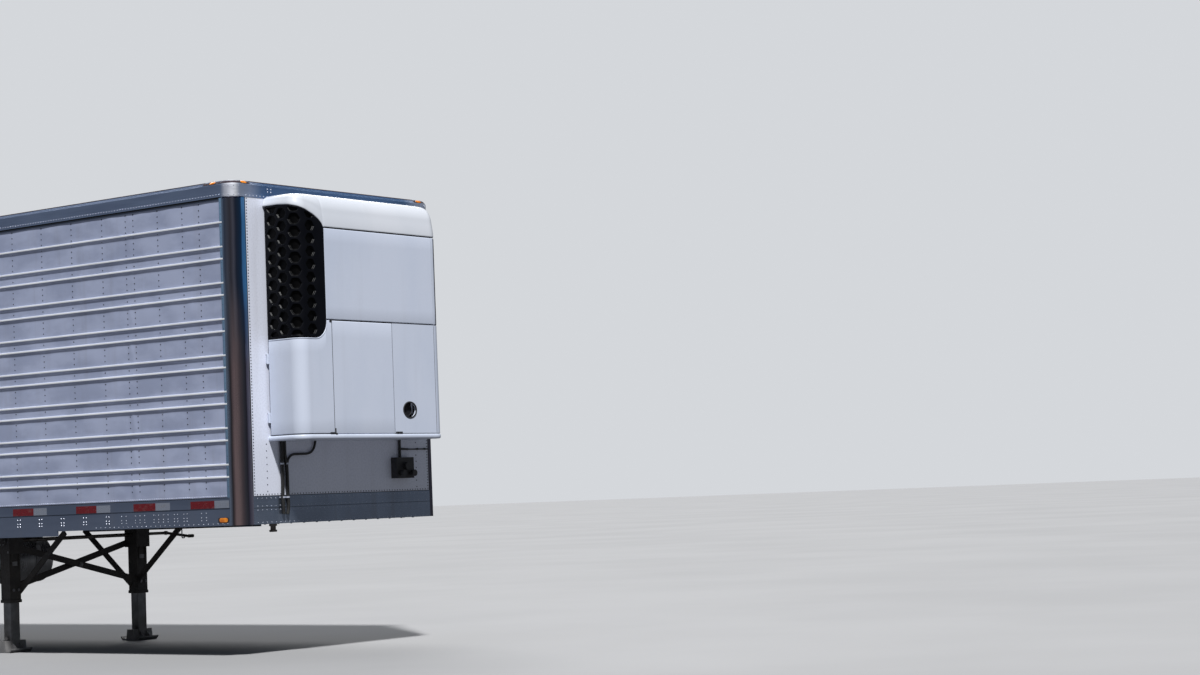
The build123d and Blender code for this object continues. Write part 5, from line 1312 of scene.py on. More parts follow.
def build_landing():
    """Gear covers, bolts, collars, gussets, foot pins, the crank's grip and its hanger."""
    steel, black = [], []
    cover = lathe([(0, 0), (0.054, 0), (0.054, 0.009), (0.047, 0.014), (0.028, 0.014), (0.026, 0.021),
        (0, 0.021)], 24)
    for side in SIDES.values():
        y, out = side * LEG_Y, (0, side, 0)
        black.append(copies(cover, [(LEG_X, side * 0.885, SHAFT_Z)], facing(out)))
        steel.append(bolts_at(ring_places(0.04, 6) + (LEG_X, side * 0.8985, SHAFT_Z), out, 0.005, 0.004))
        corners = grid_places((LEG_X - 0.074, LEG_X + 0.074), side * 0.885, (0.952, 1.128))
        steel += [
            bolts_at(corners, out, 0.008, 0.006),
            bolts_at(grid_places((LEG_X - 0.185, LEG_X - 0.125, LEG_X + 0.125, LEG_X + 0.185),
                (y - 0.112, y + 0.142), 1.13), (0, 0, -1), 0.01, 0.01),
        ]
        for x, way in ((LEG_X - 0.077, -1), (LEG_X + 0.077, 1)):
            spots = grid_places(x, (y - 0.03, y + 0.03), (0.59, 0.985))
            steel.append(bolts_at(spots, (way, 0, 0), 0.011, 0.008))
        black.append(copies(pad(rounded_outline(0.148, 0.148, 0.012), 0.47, 0.5, 0.003), [(LEG_X, y, 0)]))
        for way in (-1, 1):
            for lane in (-0.042, 0.042):
                rib = [(0.937, LEG_X + way * 0.06), (0.937, LEG_X + way * 0.088),
                    (0.785, LEG_X + way * 0.066), (0.785, LEG_X + way * 0.06)]
                black.append(plate(rib, y + lane - 0.004, y + lane + 0.004, "y"))
                foot = [(0.012, LEG_X + way * 0.048), (0.012, LEG_X + way * 0.128),
                    (0.03, LEG_X + way * 0.126), (0.1, LEG_X + way * 0.048)]
                steel.append(plate(foot, y + lane - 0.004, y + lane + 0.004, "y"))
        steel.append(tube([(LEG_X, y - 0.072, FOOT_PIN_Z), (LEG_X, y + 0.072, FOOT_PIN_Z)], 0.013, 12))
        for way in (-1, 1):
            steel.append(bolts_at([(LEG_X, y + way * 0.07, FOOT_PIN_Z)], (0, way, 0), 0.018, 0.01))
        steel.append(block((LEG_X + 0.064, y - 0.03, 0.82), (LEG_X + 0.0665, y + 0.03, 0.86), 0.001, "x"))
        slot = [block((LEG_X - 0.0665, y - 0.004, z - 0.03), (LEG_X - 0.064, y + 0.004, z + 0.03), 0.001, "x")
            for z in (0.66, 0.74)]
        black += slot
    steel.append(tube([(LEG_X - 0.085, 0, BRACE_Z), (LEG_X + 0.085, 0, BRACE_Z)], 0.01, 10))
    steel += [bolts_at([(LEG_X + way * 0.08, 0, BRACE_Z)], (way, 0, 0), 0.017, 0.01) for way in (-1, 1)]
    put("landing_fixings", steel, "zinc")
    put("landing_covers", black, "chassis_black")

    ribs = [(0.012, 1.206), (0.0175, 1.208)]
    for y in np.arange(1.214, 1.262, 0.008):
        ribs += [(0.0178, y), (0.016, y + 0.002), (0.016, y + 0.006), (0.0178, y + 0.008)]
    ribs += [(0.0175, 1.271), (0.012, 1.273)]
    grip = copies(lathe(ribs, 16, 1), [(LEG_X + 0.316, 0, 1.022)])
    hook = smooth_path([(LEG_X + 0.24, 1.19, 1.152), (LEG_X + 0.24, 1.19, 1.004),
        (LEG_X + 0.24, 1.224, 1.004), (LEG_X + 0.24, 1.224, 1.036)], 0.012)
    put("crank_grip", [grip], "hose_rubber")
    collars = [band(0.015, 0.012, 0.006, (LEG_X, y, SHAFT_Z), 16) for y in (0.918, 1.19)]
    put("crank_hanger", [tube(hook, 0.006, 10), *collars], "zinc", slot="bright_steel")


BELLOWS = (
    (0, 0.6), (0.098, 0.6), (0.1, 0.606), (0.1, 0.64), (0.094, 0.647), (0.089, 0.69),
    (0.089, 0.716), (0.098, 0.724), (0.116, 0.732), (0.13, 0.75), (0.1362, 0.778), (0.137, 0.815),
    (0.137, 0.9), (0.1348, 0.935), (0.129, 0.962), (0.12, 0.98), (0.1165, 0.988), (0.12, 0.992),
    (0.12, 1.01), (0, 1.01),
)


def build_suspension():
    """U-bolts, pivot bolts, bellows, brake chambers, cams, hoses, domed tanks, rail holes and the pull."""
    steel, black, rubber, hoses = [], [], [], []
    for x, side in product(AXLES.values(), SIDES.values()):
        out, back_y = (0, side, 0), (0, -side, 0)
        for y in (0.4475, 0.5475):
            bend = smooth_path([(x - 0.079, side * y, 0.668), (x - 0.079, side * y, 0.44),
                (x + 0.079, side * y, 0.44), (x + 0.079, side * y, 0.668)], 0.07, 9)
            steel += [
                tube(bend, 0.0085, 10),
                bolts_at([(x - 0.079, side * y, 0.6505), (x + 0.079, side * y, 0.6505)], (0, 0, 1), 0.015,
                    0.014),
            ]
        black += [
            block((x - 0.105, side * 0.432, 0.636), (x + 0.105, side * 0.563, 0.6505), 0.003),
            block((x - 0.09, side * 0.463, 0.59), (x + 0.09, side * 0.532, 0.638), 0.003),
        ]
        pivot = x + PIVOT_AHEAD
        washer = lathe([(0, 0), (0.047, 0), (0.047, 0.005), (0.044, 0.006), (0, 0.006)], 24)
        black.append(copies(washer, [(pivot, side * 0.55, 0.58)], facing(out)))
        steel += [
            bolts_at([(pivot, side * 0.556, 0.58)], out, 0.024, 0.018),
            bolts_at([(pivot, side * 0.441, 0.58)], back_y, 0.024, 0.018),
            bolts_at(grid_places((pivot - 0.055, pivot + 0.055), side * 0.55, (0.8, 0.95)), out, 0.011,
                0.009),
        ]
        bag = (x - 0.33, side * 0.4975, 0)
        rubber.append(copies(lathe(BELLOWS, 40), [bag]))
        steel += [
            copies(lathe([(0.115, 0.989), (0.1235, 0.991), (0.1235, 1.005), (0.115, 1.007)], 40), [bag]),
            bolts_at([(x - 0.33, side * 0.4975, 0.5605)], (0, 0, -1), 0.016, 0.014),
        ]
        for spot in ((x + 0.13, 0.606, 0.56), (x + 0.272, 0.606, 1.022)):
            steel.append(bolts_at([np.array(spot) * (1, side, 1)], out, 0.013, 0.01))
        pot = np.array([x + 0.17, side * 0.35, AXLE_Z + 0.1])
        steel.append(band(0.082, 0.011, 0.007, pot, 32, 0))
        for way in (-1, 1):
            steel += [
                bolts_at([pot + (0.012, 0, way * 0.094)], (1, 0, 0), 0.008, 0.008),
                block(pot + (-0.012, -0.012, way * 0.085), pot + (0.012, 0.012, way * 0.104), 0.002),
            ]
        dish = lathe([(0.082, 0), (0.079, 0.01), (0.06, 0.024), (0.03, 0.031), (0, 0.032)], 28, 0)
        black += [
            copies(dish, [pot + (0.08, 0, 0)]),
            tube([(x + 0.1, side * 0.372, 0.404), (x + 0.1, side * 0.664, 0.404)], 0.019, 14),
        ]
        lever = [(0.38, x + 0.078), (0.38, x + 0.122), (0.628, x + 0.04), (0.628, x + 0.01)]
        black.append(plate(lever, side * 0.397 - 0.01, side * 0.397 + 0.01, "y", 0.003))
        steel.append(bolts_at([(x + 0.1, side * 0.407, 0.404), (x + 0.025, side * 0.407, 0.61)], out, 0.011,
            0.008))
        for lane, end in ((0.335, 0.18), (0.372, 0.26)):
            line = [(x + 0.205, side * lane, 0.69), (x + 0.205, side * lane, 0.8),
                (x + 0.06, side * lane, 0.88), (x - 0.25, side * end, 0.905), (x - 0.4, side * end, 0.905)]
            hoses.append(tube(smooth_path(line, 0.06, 8), 0.0072, 8))
    put("bellows", rubber, "flap_rubber", replaces=("air_springs",))
    put("suspension_fixings", steel, "zinc")
    put("brake_parts", black, "chassis_black")
    put("brake_hoses", hoses, "hose_rubber")

    dome_end = [(0, -0.33), (0.045, -0.327), (0.078, -0.314), (0.097, -0.292), (AIR_TANK_R, -0.262)]
    shell = dome_end + [(r, -y) for r, y in dome_end[::-1]]
    tanks, straps = [], []
    for station in (13.53, 14.7):
        near = NOSE - station + 0.045
        x = near + 0.125
        tanks.append(copies(lathe(shell, 36, 1), [(x, 0, AIR_TANK_Z)]))
        for y in (-0.262, 0.262):
            tanks.append(band(AIR_TANK_R, 0.0035, 0.0018, (x, y, AIR_TANK_Z), 36))
        for y in (-0.22, 0.22):
            straps.append(band(AIR_TANK_R, 0.016, 0.003, (x, y, AIR_TANK_Z), 36))
            tanks.append(block((near, y - 0.02, 0.965), (x, y + 0.02, 1.125), 0.003))
        straps += [
            bolts_at([(x, 0.05, 0.8005)], (0, 0, -1), 0.012, 0.02),
            bolts_at([(x + 0.09, y, 0.972) for y in (-0.12, 0.12)], (1, 0, 1), 0.012, 0.016),
        ]
    put("air_tank_shells", tanks, "chassis_black", replaces=("air_tanks",))
    put("air_tank_straps", straps, "zinc")

    rims, pits = [], []
    stations = np.arange(11.62, 15.7, 0.1524)
    stations = stations[np.abs(stations[:, None] - (12.23, 14.4)).min(axis=1) > 0.06]
    for side in SIDES.values():
        places = grid_places(NOSE - stations, side * 0.56, 1.095)
        frames = facing((0, side, 0))
        rims.append(copies(lathe([(0.019, 0), (0.025, 0), (0.0235, 0.002), (0.0195, 0.002)], 20), places,
            frames))
        pits.append(copies(lathe([(0, 0.0006), (0.0205, 0.0006), (0.0205, -0.0004), (0, -0.0004)], 20),
            places, frames))
    put("rail_hole_rims", rims, "chassis_black")
    put("rail_holes", pits, "seal_black")
    x = NOSE - 12.08
    pull = smooth_path([(x, 0.56, 1.03), (x, 1.215, 1.03), (x, 1.24, 0.985), (x, 1.24, 0.93), (x, 1.18, 0.93),
        (x, 1.18, 0.985)], 0.018)
    put("slider_pull", [tube(pull, 0.0075, 10),
        block((x - 0.02, 1.12, 1.005), (x + 0.02, 1.126, 1.152), 0.002)], "zinc")


def build_under_lines():
    """Wiring loom, air lines and their clips under the floor, flap ribs, coupler bolts and tank fittings."""
    runs, clips, steel = [], [], []
    for y, radius in ((0.12, 0.011), (-0.1, 0.0065), (-0.13, 0.0065)):
        path = np.stack([np.linspace(5.9, -7.7, 46), np.full(46, y),
            1.1405 - 0.004 * np.abs(np.sin(np.linspace(0, 22.3 * pi, 46)))], axis=-1)
        runs.append(tube(path, radius, 8))
    for x in NOSE - np.arange(2.295, 15.6, BOW_PITCH):
        clips += [
            block((x - 0.01, 0.103, 1.1265), (x + 0.01, 0.137, 1.1515), 0.003),
            block((x - 0.01, -0.142, 1.1315), (x + 0.01, -0.088, 1.1515), 0.003),
        ]
    put("under_lines", runs, "hose_rubber")
    put("line_clips", clips, "black_plastic")

    down = (0, 0, -1)
    edge = np.concatenate([grid_places(np.arange(6.12, 7.8, 0.12), (-1.16, 1.16), COUPLER_Z),
        grid_places((6.1, 7.78), np.arange(-1.04, 1.05, 0.16), COUPLER_Z)])
    steel.append(bolts_at(edge, down, 0.009, 0.006))
    spots = ring_places(0.135, 8, pi / 8)[:, [0, 2, 1]] + (NOSE - 0.914, 0, COUPLER_Z)
    steel.append(bolts_at(spots, down, 0.013, 0.008))
    put("coupler_bolts", steel, "greased_steel")

    ribs, bars = [], []
    for side in SIDES.values():
        for y in np.linspace(0.71, 1.262, 13):
            ribs.append(block((-6.9792, side * y - 0.004, 0.33), (-6.9765, side * y + 0.004, 1.01), 0.0009,
                "x", 2))
        bars += [
            block((-6.9805, side * 0.685, 1.018), (-6.9765, side * 1.287, 1.046), 0.001, "x"),
            bolts_at(grid_places(-6.9805, side * np.linspace(0.73, 1.24, 5), 1.032), (-1, 0, 0), 0.008,
                0.006),
        ]
    put("flap_ribs", ribs, "flap_rubber")
    put("flap_bars", bars, "zinc")

    metal, fixings = [], []
    end = [(0, 0.503), (0.15, 0.5015), (0.168, 0.4975), (0.176, 0.499), (0.186, 0.499), (0.19, 0.496)]
    for side in SIDES.values():
        metal += [
            copies(lathe([(r, side * y) for r, y in end], 48, 1), [(TANK_X, 0, TANK_Z)]),
            band(0.235, 0.004, 0.0016, (TANK_X, side * 0.452, TANK_Z), 56),
        ]
        for way in (-1, 1):
            fixings += [
                bolts_at(grid_places(TANK_X + way * 0.242, side * 0.29 + np.array([-0.014, 0.014]),
                    (0.9, 1.0)), (way, 0, 0), 0.008, 0.007),
                bolts_at([(TANK_X + way * 0.33, side * 0.29, COUPLER_Z)], down, 0.01, 0.01),
            ]
    lid = lathe([(0.024, -0.012), (0.036, -0.012), (0.038, -0.006), (0.038, 0.01), (0.034, 0.016),
        (0.012, 0.018), (0, 0.018)], 20)
    neck = (TANK_X + 0.137, -0.4, 1.106)
    metal += [
        copies(lid, [neck], facing((0.04, 0, 0.072))),
        bolts_at([(TANK_X, 0.3, 0.6155)], down, 0.014, 0.012),
    ]
    put("tank_fittings", metal, "tank_metal", slot="polished_steel")
    put("tank_fixings", fixings, "zinc")
    fuel = smooth_path([(TANK_X + 0.05, 0.06, 1.08), (TANK_X + 0.05, 0.06, 1.139),
        (TANK_X + 0.6, 0.06, 1.139), (5.9, 0.06, 1.139)], 0.03)
    lead = smooth_path([(TANK_X + 0.05, 0.03, 1.08), (TANK_X + 0.05, 0.03, 1.137),
        (TANK_X + 0.6, 0.03, 1.137), (5.9, 0.03, 1.137)], 0.03)
    put("fuel_lines", [tube(fuel, 0.0065, 8), tube(lead, 0.0065, 8)], "hose_rubber")


# Rear doors and frame, the inside and the roof

PIN = (REAR - 0.06, 1.281)
ROD_YS = (0.3, 0.85)
HANDLE_ZS = (1.96, 2.16)
HINGE_ZS = (1.56, 2.12, 2.68, 3.24, 3.8)
BEHIND = (-1, 0, 0)


def tape_run(x, side, start, end, low, high):
    """Red and white strips in turn along a face that looks back, as two lists of thin slabs."""
    red, white = [], []
    marks = np.arange(start, end - 0.03, 0.24)
    for near in marks:
        middle, far = min(near + 0.14, end), min(near + 0.24, end)
        red.append(block((x - 0.0008, side * near, low), (x + 0.0005, side * (middle - 0.001), high), 0.0003,
            "x"))
        if far > middle + 0.01:
            white.append(block((x - 0.0008, side * middle, low), (x + 0.0005, side * (far - 0.001), high),
                0.0003, "x"))
    return red, white


def build_rear_doors():
    """Edge frames, seals, guide flanges, hinge bolts, handle catches, rod collars and tape on both doors."""
    for name, side in SIDES.items():
        body = f"rear_door_{name}"
        low, high, near, far = 1.38, 3.982, 0.014, 1.17
        frame_bars = [
            block((REAR - 0.0028, side * near, low + 0.004), (REAR, side * (near + 0.046), high - 0.004),
                0.001, "x"),
            block((REAR - 0.0028, side * (far - 0.046), low + 0.004), (REAR, side * far, high - 0.004),
                0.001, "x"),
            block((REAR - 0.0022, side * (near + 0.002), low + 0.002),
                (REAR, side * (far - 0.002), low + 0.052), 0.001, "x"),
            block((REAR - 0.0022, side * (near + 0.002), high - 0.052),
                (REAR, side * (far - 0.002), high - 0.002), 0.001, "x"),
        ]
        put(f"door_edges_{name}", frame_bars, "rear_steel", body=body)
        rows = [
            rivets(grid_places(REAR - 0.0028, side * np.array([near + 0.012, far - 0.012]),
                np.arange(1.46, 3.93, 0.055)), BEHIND, 0.0055, 0.0026),
            rivets(grid_places(REAR - 0.0022, side * np.arange(0.09, 1.12, 0.055), (1.396, 3.966)), BEHIND,
                0.0055, 0.0026),
        ]
        put(f"door_rivets_{name}", rows, "rivet_bright", body=body)
        corners = [
            (REAR + 0.001, side * (near - 0.002), low),
            (REAR + 0.001, side * (near - 0.002), high),
            (REAR + 0.001, side * far, high),
            (REAR + 0.001, side * far, low),
        ]
        loop = smooth_path([(REAR + 0.001, side * 0.6, low), *corners, (REAR + 0.001, side * 0.6, low)], 0.03,
            5)
        inner = loop * (0, 1, 1) + (REAR + 0.0765, 0, 0)
        put(f"door_seal_{name}", [tube(loop, 0.0058, 8), tube(inner, 0.0045, 8)], "seal_black", body=body)
        panel = block((REAR + 0.074, side * 0.035, 1.405), (REAR + 0.079, side * 1.14, 3.945), 0.002, "x")
        put(f"door_liner_{name}", [panel], "liner_white", body=body)
        kick = [
            block((REAR + 0.078, side * 0.06, 1.425), (REAR + 0.0815, side * 1.115, 1.7), 0.001, "x"),
            rivets(grid_places(REAR + 0.0815, side * np.arange(0.08, 1.11, 0.085), (1.44, 1.685)), (1, 0, 0),
                0.005, 0.002),
        ]
        put(f"door_kick_{name}", kick, "grooved_floor", body=body)

        steel = []
        for y, handle in zip(ROD_YS, HANDLE_ZS):
            for z in (1.438, handle - 0.09, handle + 0.09, 2.9, 3.924):
                steel += [
                    block((REAR - 0.0045, side * y - 0.048, z - 0.026), (REAR, side * y + 0.048, z + 0.026),
                        0.0015, "x"),
                    bolts_at(grid_places(REAR - 0.0045, side * y + np.array([-0.037, 0.037]), z), BEHIND,
                        0.0065, 0.005),
                ]
            for z in (1.3, 1.465, 2.7, 3.895, 4.022):
                steel.append(band(0.0135, 0.009, 0.004, (REAR - 0.02, side * y, z), 16, 2))
            for z in (1.276, 4.046):
                steel.append(block((REAR - 0.04, side * y - 0.02, z - 0.011),
                    (REAR - 0.01, side * y + 0.006, z + 0.011), 0.003))
            steel.append(band(0.0135, 0.024, 0.007, (REAR - 0.02, side * y, handle), 20, 2))
            end = side * (y - 0.25)
            steel.append(tube([(REAR - 0.028, end, handle), (REAR - 0.028, end - side * 0.026, handle)],
                0.0125, 14))
            catch = side * (y - 0.205)
            steel += [
                block((REAR - 0.0045, catch - 0.042, handle - 0.05), (REAR, catch + 0.042, handle + 0.05),
                    0.002, "x"),
                bolts_at(grid_places(REAR - 0.0045, (catch - 0.032, catch + 0.032),
                    (handle - 0.04, handle + 0.04)), BEHIND, 0.0055, 0.004),
                block((REAR - 0.0405, catch - 0.014, handle - 0.02),
                    (REAR - 0.0355, catch + 0.014, handle + 0.036), 0.003),
            ]
        for z in HINGE_ZS:
            spots = grid_places(PIN[0] + 0.0462, side * np.array([0.985, 1.035, 1.085, 1.135]),
                (z - 0.014, z + 0.014))
            steel.append(bolts_at(spots, BEHIND, 0.0075, 0.006))
        put(f"door_fixings_{name}", steel, "zinc", body=body)
        red, white = tape_run(REAR - 0.0022, side, 0.075, 1.115, 1.47, 1.52)
        put(f"door_tape_red_{name}", red, "tape_red", body=body)
        put(f"door_tape_white_{name}", white, "tape_white", body=body)


def build_rear_frame():
    """Ringed red lamps in rubber rims, pin heads, rivets, corner tape, bumpers, plate holder and guard."""
    rubber, lenses, steel = [], [], []
    rim = lathe([(0.047, 0), (0.062, 0), (0.0625, 0.004), (0.058, 0.0085), (0.05, 0.0085), (0.048, 0.005),
        (0.047, 0)], 36)
    lens = [(0.0488, 0.001), (0.0488, 0.0075), (0.0465, 0.01)]
    for radius in (0.041, 0.033, 0.025, 0.017):
        lens += [(radius + 0.0025, 0.0112), (radius, 0.012), (radius - 0.003, 0.0108)]
    lens = lathe([*lens, (0.008, 0.0122), (0, 0.0124)], 36)
    back = facing(BEHIND)
    for side in SIDES.values():
        spots = [(REAR, side * y, 1.21) for y in (0.7, 0.83, 0.96)]
        rubber.append(copies(rim, spots, back))
        lenses.append(copies(lens, spots, back))
        for z in HINGE_ZS:
            for end, way in ((z + 0.048, 1), (z - 0.048, -1)):
                steel.append(copies(dome(0.0125, 0.006, 12), [(PIN[0], side * PIN[1], end)],
                    facing((0, 0, way))))
        posts = grid_places(REAR, side * 1.193, np.arange(1.42, 3.97, 0.085))
        steel += [
            rivets(posts, BEHIND, 0.0055, 0.0028),
            bolts_at([(REAR, side * 1.16, 1.34), (REAR, side * 1.265, 1.34), (REAR, side * 1.24, 1.16),
                (REAR, side * 0.6, 1.16)], BEHIND, 0.009, 0.007),
        ]
        for y in ROD_YS:
            for z in (1.29, 4.032):
                spots = grid_places(REAR, side * y + np.array([-0.043, 0.043]), z)
                steel += [
                    bolts_at(spots, BEHIND, 0.0065, 0.005),
                    block((REAR - 0.0035, side * y - 0.052, z - 0.024), (REAR, side * y + 0.052, z + 0.024),
                        0.001, "x"),
                ]
        rubber.append(block((REAR - 0.046, side * 1.075, 1.147), (REAR, side * 1.225, 1.25), 0.008, "y", 4))
        for y in (1.105, 1.195):
            steel.append(bolts_at([(REAR - 0.046, side * y, 1.198)], BEHIND, 0.01, 0.004))
        steel.append(bolts_at(grid_places(REAR + 0.016, side * 0.7 + np.array([-0.03, 0.03]), (1.09, 1.125)),
            BEHIND, 0.01, 0.008))
        for lane in (-0.046, 0.046):
            gusset = [(0.549, REAR + 0.018), (0.549, REAR + 0.1), (0.58, REAR + 0.1), (0.69, REAR + 0.08),
                (0.69, REAR + 0.018)]
            y = side * 0.7 + lane
            steel.append(plate(gusset, y - 0.004, y + 0.004, "y"))
        rubber.append(block((REAR + 0.004, side * 1.186, 0.447), (REAR + 0.108, side * 1.204, 0.553), 0.007,
            "y", 3))
    lamps = [lamp_on((REAR, y, 4.043), BEHIND, (0, 1, 0), 0.094, 0.034, 0.0125)
        for y in (-1.12, -0.16, 0, 0.16, 1.12)]
    for foot, top_lens, screws in lamps:
        rubber += [foot, screws]
        lenses.append(top_lens)
    put("rear_lenses", lenses, "red_lens", replaces=("tail_lamps",))
    put("rear_rubber", rubber, "black_plastic")
    steel += [
        rivets(grid_places(REAR, np.arange(-1.1, 1.11, 0.1), 1.358), BEHIND, 0.0055, 0.0028),
        rivets(grid_places(REAR, np.arange(-1.02, 1.03, 0.1), 4.078), BEHIND, 0.0055, 0.0028),
    ]
    put("rear_fixings", steel, "zinc")

    x = REAR
    holder = [
        block((x - 0.004, -0.16, 1.165), (x, 0.16, 1.325), 0.004, "x", 4),
        block((x - 0.0065, -0.16, 1.165), (x - 0.0035, -0.15, 1.325), 0.001, "x"),
        block((x - 0.0065, 0.15, 1.165), (x - 0.0035, 0.16, 1.325), 0.001, "x"),
        block((x - 0.0065, -0.155, 1.165), (x - 0.0035, 0.155, 1.175), 0.001, "x"),
        block((x - 0.024, -0.05, 1.332), (x, 0.05, 1.356), 0.005, "y", 3),
    ]
    holder.append(bolts_at(grid_places(x - 0.004, (-0.1, 0.1), (1.182, 1.312)), BEHIND, 0.006, 0.004))
    put("plate_holder", holder, "rear_steel")

    red, white = [], []
    for side in SIDES.values():
        reds, whites = tape_run(REAR + 0.006, side, 0.004, 1.18, 0.475, 0.525)
        red += reds
        white += whites
        white += [
            block((x - 0.0008, side * 0.9, 3.994), (x + 0.0005, side * 1.06, 4.016), 0.0003, "x"),
            block((x - 0.0008, side * 1.212, 3.862), (x + 0.0005, side * 1.236, 4.016), 0.0003, "x"),
            block((x - 0.0008, side * 1.061, 3.994), (x + 0.0005, side * 1.211, 4.016), 0.0003, "x"),
        ]
    put("rear_tape_red", red, "tape_red")
    put("rear_tape_white", white, "tape_white")


LINER_Y = 1.2352


def build_interior():
    """Ribbed scuff plates, wall battens, ceiling lamps, the hung air duct and the bulkhead's slots."""
    heights = np.linspace(1.374, 1.69, 56)
    wave = 0.0035 + 0.003 * np.clip(1.8 * np.sin((heights - 1.374) / 0.316 * 6 * 2 * pi), -1, 1)
    wave[0] = wave[-1] = 0.0008
    scuffs, battens, heads = [], [], []
    sheets = [block((x, -1.2336, 4.0285), (min(x + 2.44, NOSE - 0.101), 1.2336, 4.0302), 0.0006)
        for x in np.arange(REAR + 0.101, NOSE - 0.2, 2.441)]
    for side in SIDES.values():
        rings = []
        for x in (REAR + 0.105, NOSE - 0.22):
            front = np.column_stack([np.full(56, x), side * (1.235 - wave), heights])
            rings.append(np.concatenate([front, [(x, side * LINER_Y, 1.69), (x, side * LINER_Y, 1.374)]]))
        scuffs.append(capped(np.stack(rings)))
        edges = np.concatenate([[REAR + 0.101], np.arange(-7.4, 7.6, 1.22), [NOSE - 0.216]])
        for x, end in zip(edges[:-1], edges[1:]):
            sheets.append(block((x + 0.0005, side * 1.2338, 1.691), (end - 0.0005, side * LINER_Y, 4.0285),
                0.0006, "y"))
        for x in edges[1:-1]:
            battens.append(block((x - 0.024, side * 1.2322, 1.7), (x + 0.024, side * LINER_Y, 4.026), 0.0008,
                "y"))
            heads.append(rivets(grid_places((x - 0.015, x + 0.015), side * 1.2322,
                np.arange(1.74, 4.0, 0.24)), (0, -side, 0), 0.0045, 0.0018))
    put("scuff_plates", scuffs, "grooved_floor")
    put("liner_sheets", sheets, "liner_white")
    put("liner_battens", battens, "liner_white")
    put("liner_rivets", heads, "rivet_bright")

    lamp = lathe([(0, 0.03), (0.045, 0.028), (0.062, 0.02), (0.07, 0.01), (0.074, 0.01), (0.082, 0.004),
        (0.082, 0), (0, 0)], 32)
    put("ceiling_lamps", copies(lamp, [(x, 0.78, 4.03) for x in (-6.6, -2.2, 2.2, 6.2)], facing((0, 0, -1))),
        "liner_white")

    along = np.linspace(NOSE - 0.222, -2.2, 150)
    angle = np.linspace(0, pi, 21)
    sag = 0.15 + 0.045 * np.abs(np.sin((along - along[0]) / BOW_PITCH * pi))
    sag *= np.clip((along - along[-1]) / 1.2 + 0.35, 0.35, 1)
    outer = np.stack([np.broadcast_to(along[:, None], (150, 21)), 0.36 * np.cos(angle) + 0 * along[:, None],
        4.028 - sag[:, None] * np.sin(angle) ** 0.7], axis=-1)
    lift = np.where(np.sin(angle) > 0.02, 0.004, 0)[None, :, None] * (0, 0, 1)
    inner = outer[:, ::-1] * (1, 0.988, 1) + lift
    put("air_chute", capped(np.concatenate([outer, inner], axis=1)), "liner_white")

    face = NOSE - 0.215
    slots = [block((face - 0.0012, -0.98, z), (face + 0.001, 0.98, z + 0.016), 0.0005, "x")
        for z in np.arange(1.43, 1.76, 0.036)]
    slots += [block((face - 0.0012, -0.62, z), (face + 0.001, 0.62, z + 0.01), 0.0005, "x")
        for z in (3.55, 3.6)]
    put("bulkhead_slots", slots, "seal_black")
    edge = np.concatenate([grid_places(face, (-1.12, 1.12), np.arange(1.42, 3.68, 0.15)),
        grid_places(face, np.arange(-1.0, 1.01, 0.2), (1.395, 3.685))])
    put("bulkhead_bolts", bolts_at(edge, BEHIND, 0.008, 0.004), "zinc", slot="bright_steel")


def roof_height(y):
    """The roof's crown: highest along the middle, falling with the square of the distance from it."""
    return 4.11 - 0.012 * (np.abs(y) / 1.2595) ** 2


def build_roof():
    """Low ridges where the bows carry the sheet, its edge rivets and the flanges along its sides."""
    y = np.linspace(-1.225, 1.225, 25)
    ridge = []
    for offset, lift in ((-0.022, -0.0006), (-0.01, 0.0013), (0.01, 0.0013), (0.022, -0.0006)):
        ridge.append(np.stack([np.full(25, offset), y, roof_height(y) + lift], axis=-1))
    bow = capped(np.stack(ridge, axis=1))
    xs = NOSE - np.arange(0.6, 15.95, BOW_PITCH)
    put("roof_bows", copies(bow, np.stack([xs, 0 * xs, 0 * xs], axis=-1)), "roof_sheet")
    rows = []
    for side in SIDES.values():
        for lane, pitch in ((1.238, 0.048), (1.215, 0.096)):
            line = grid_places(np.arange(-8.05, 7.72, pitch), side * lane, roof_height(lane) + 0.0001)
            rows.append(rivets(line, (0, 0, 1), 0.006, 0.0026, 5))
    put("roof_rivets", rows, "rivet_bright")
    lip = []
    for side in SIDES.values():
        lip.append(block((-8.13, side * 1.222, roof_height(1.222) - 0.0015), (7.7, side * 1.2555, 4.1002),
            0.0008, "x"))
    put("roof_flange", lip, "satin_rail")


# Stage


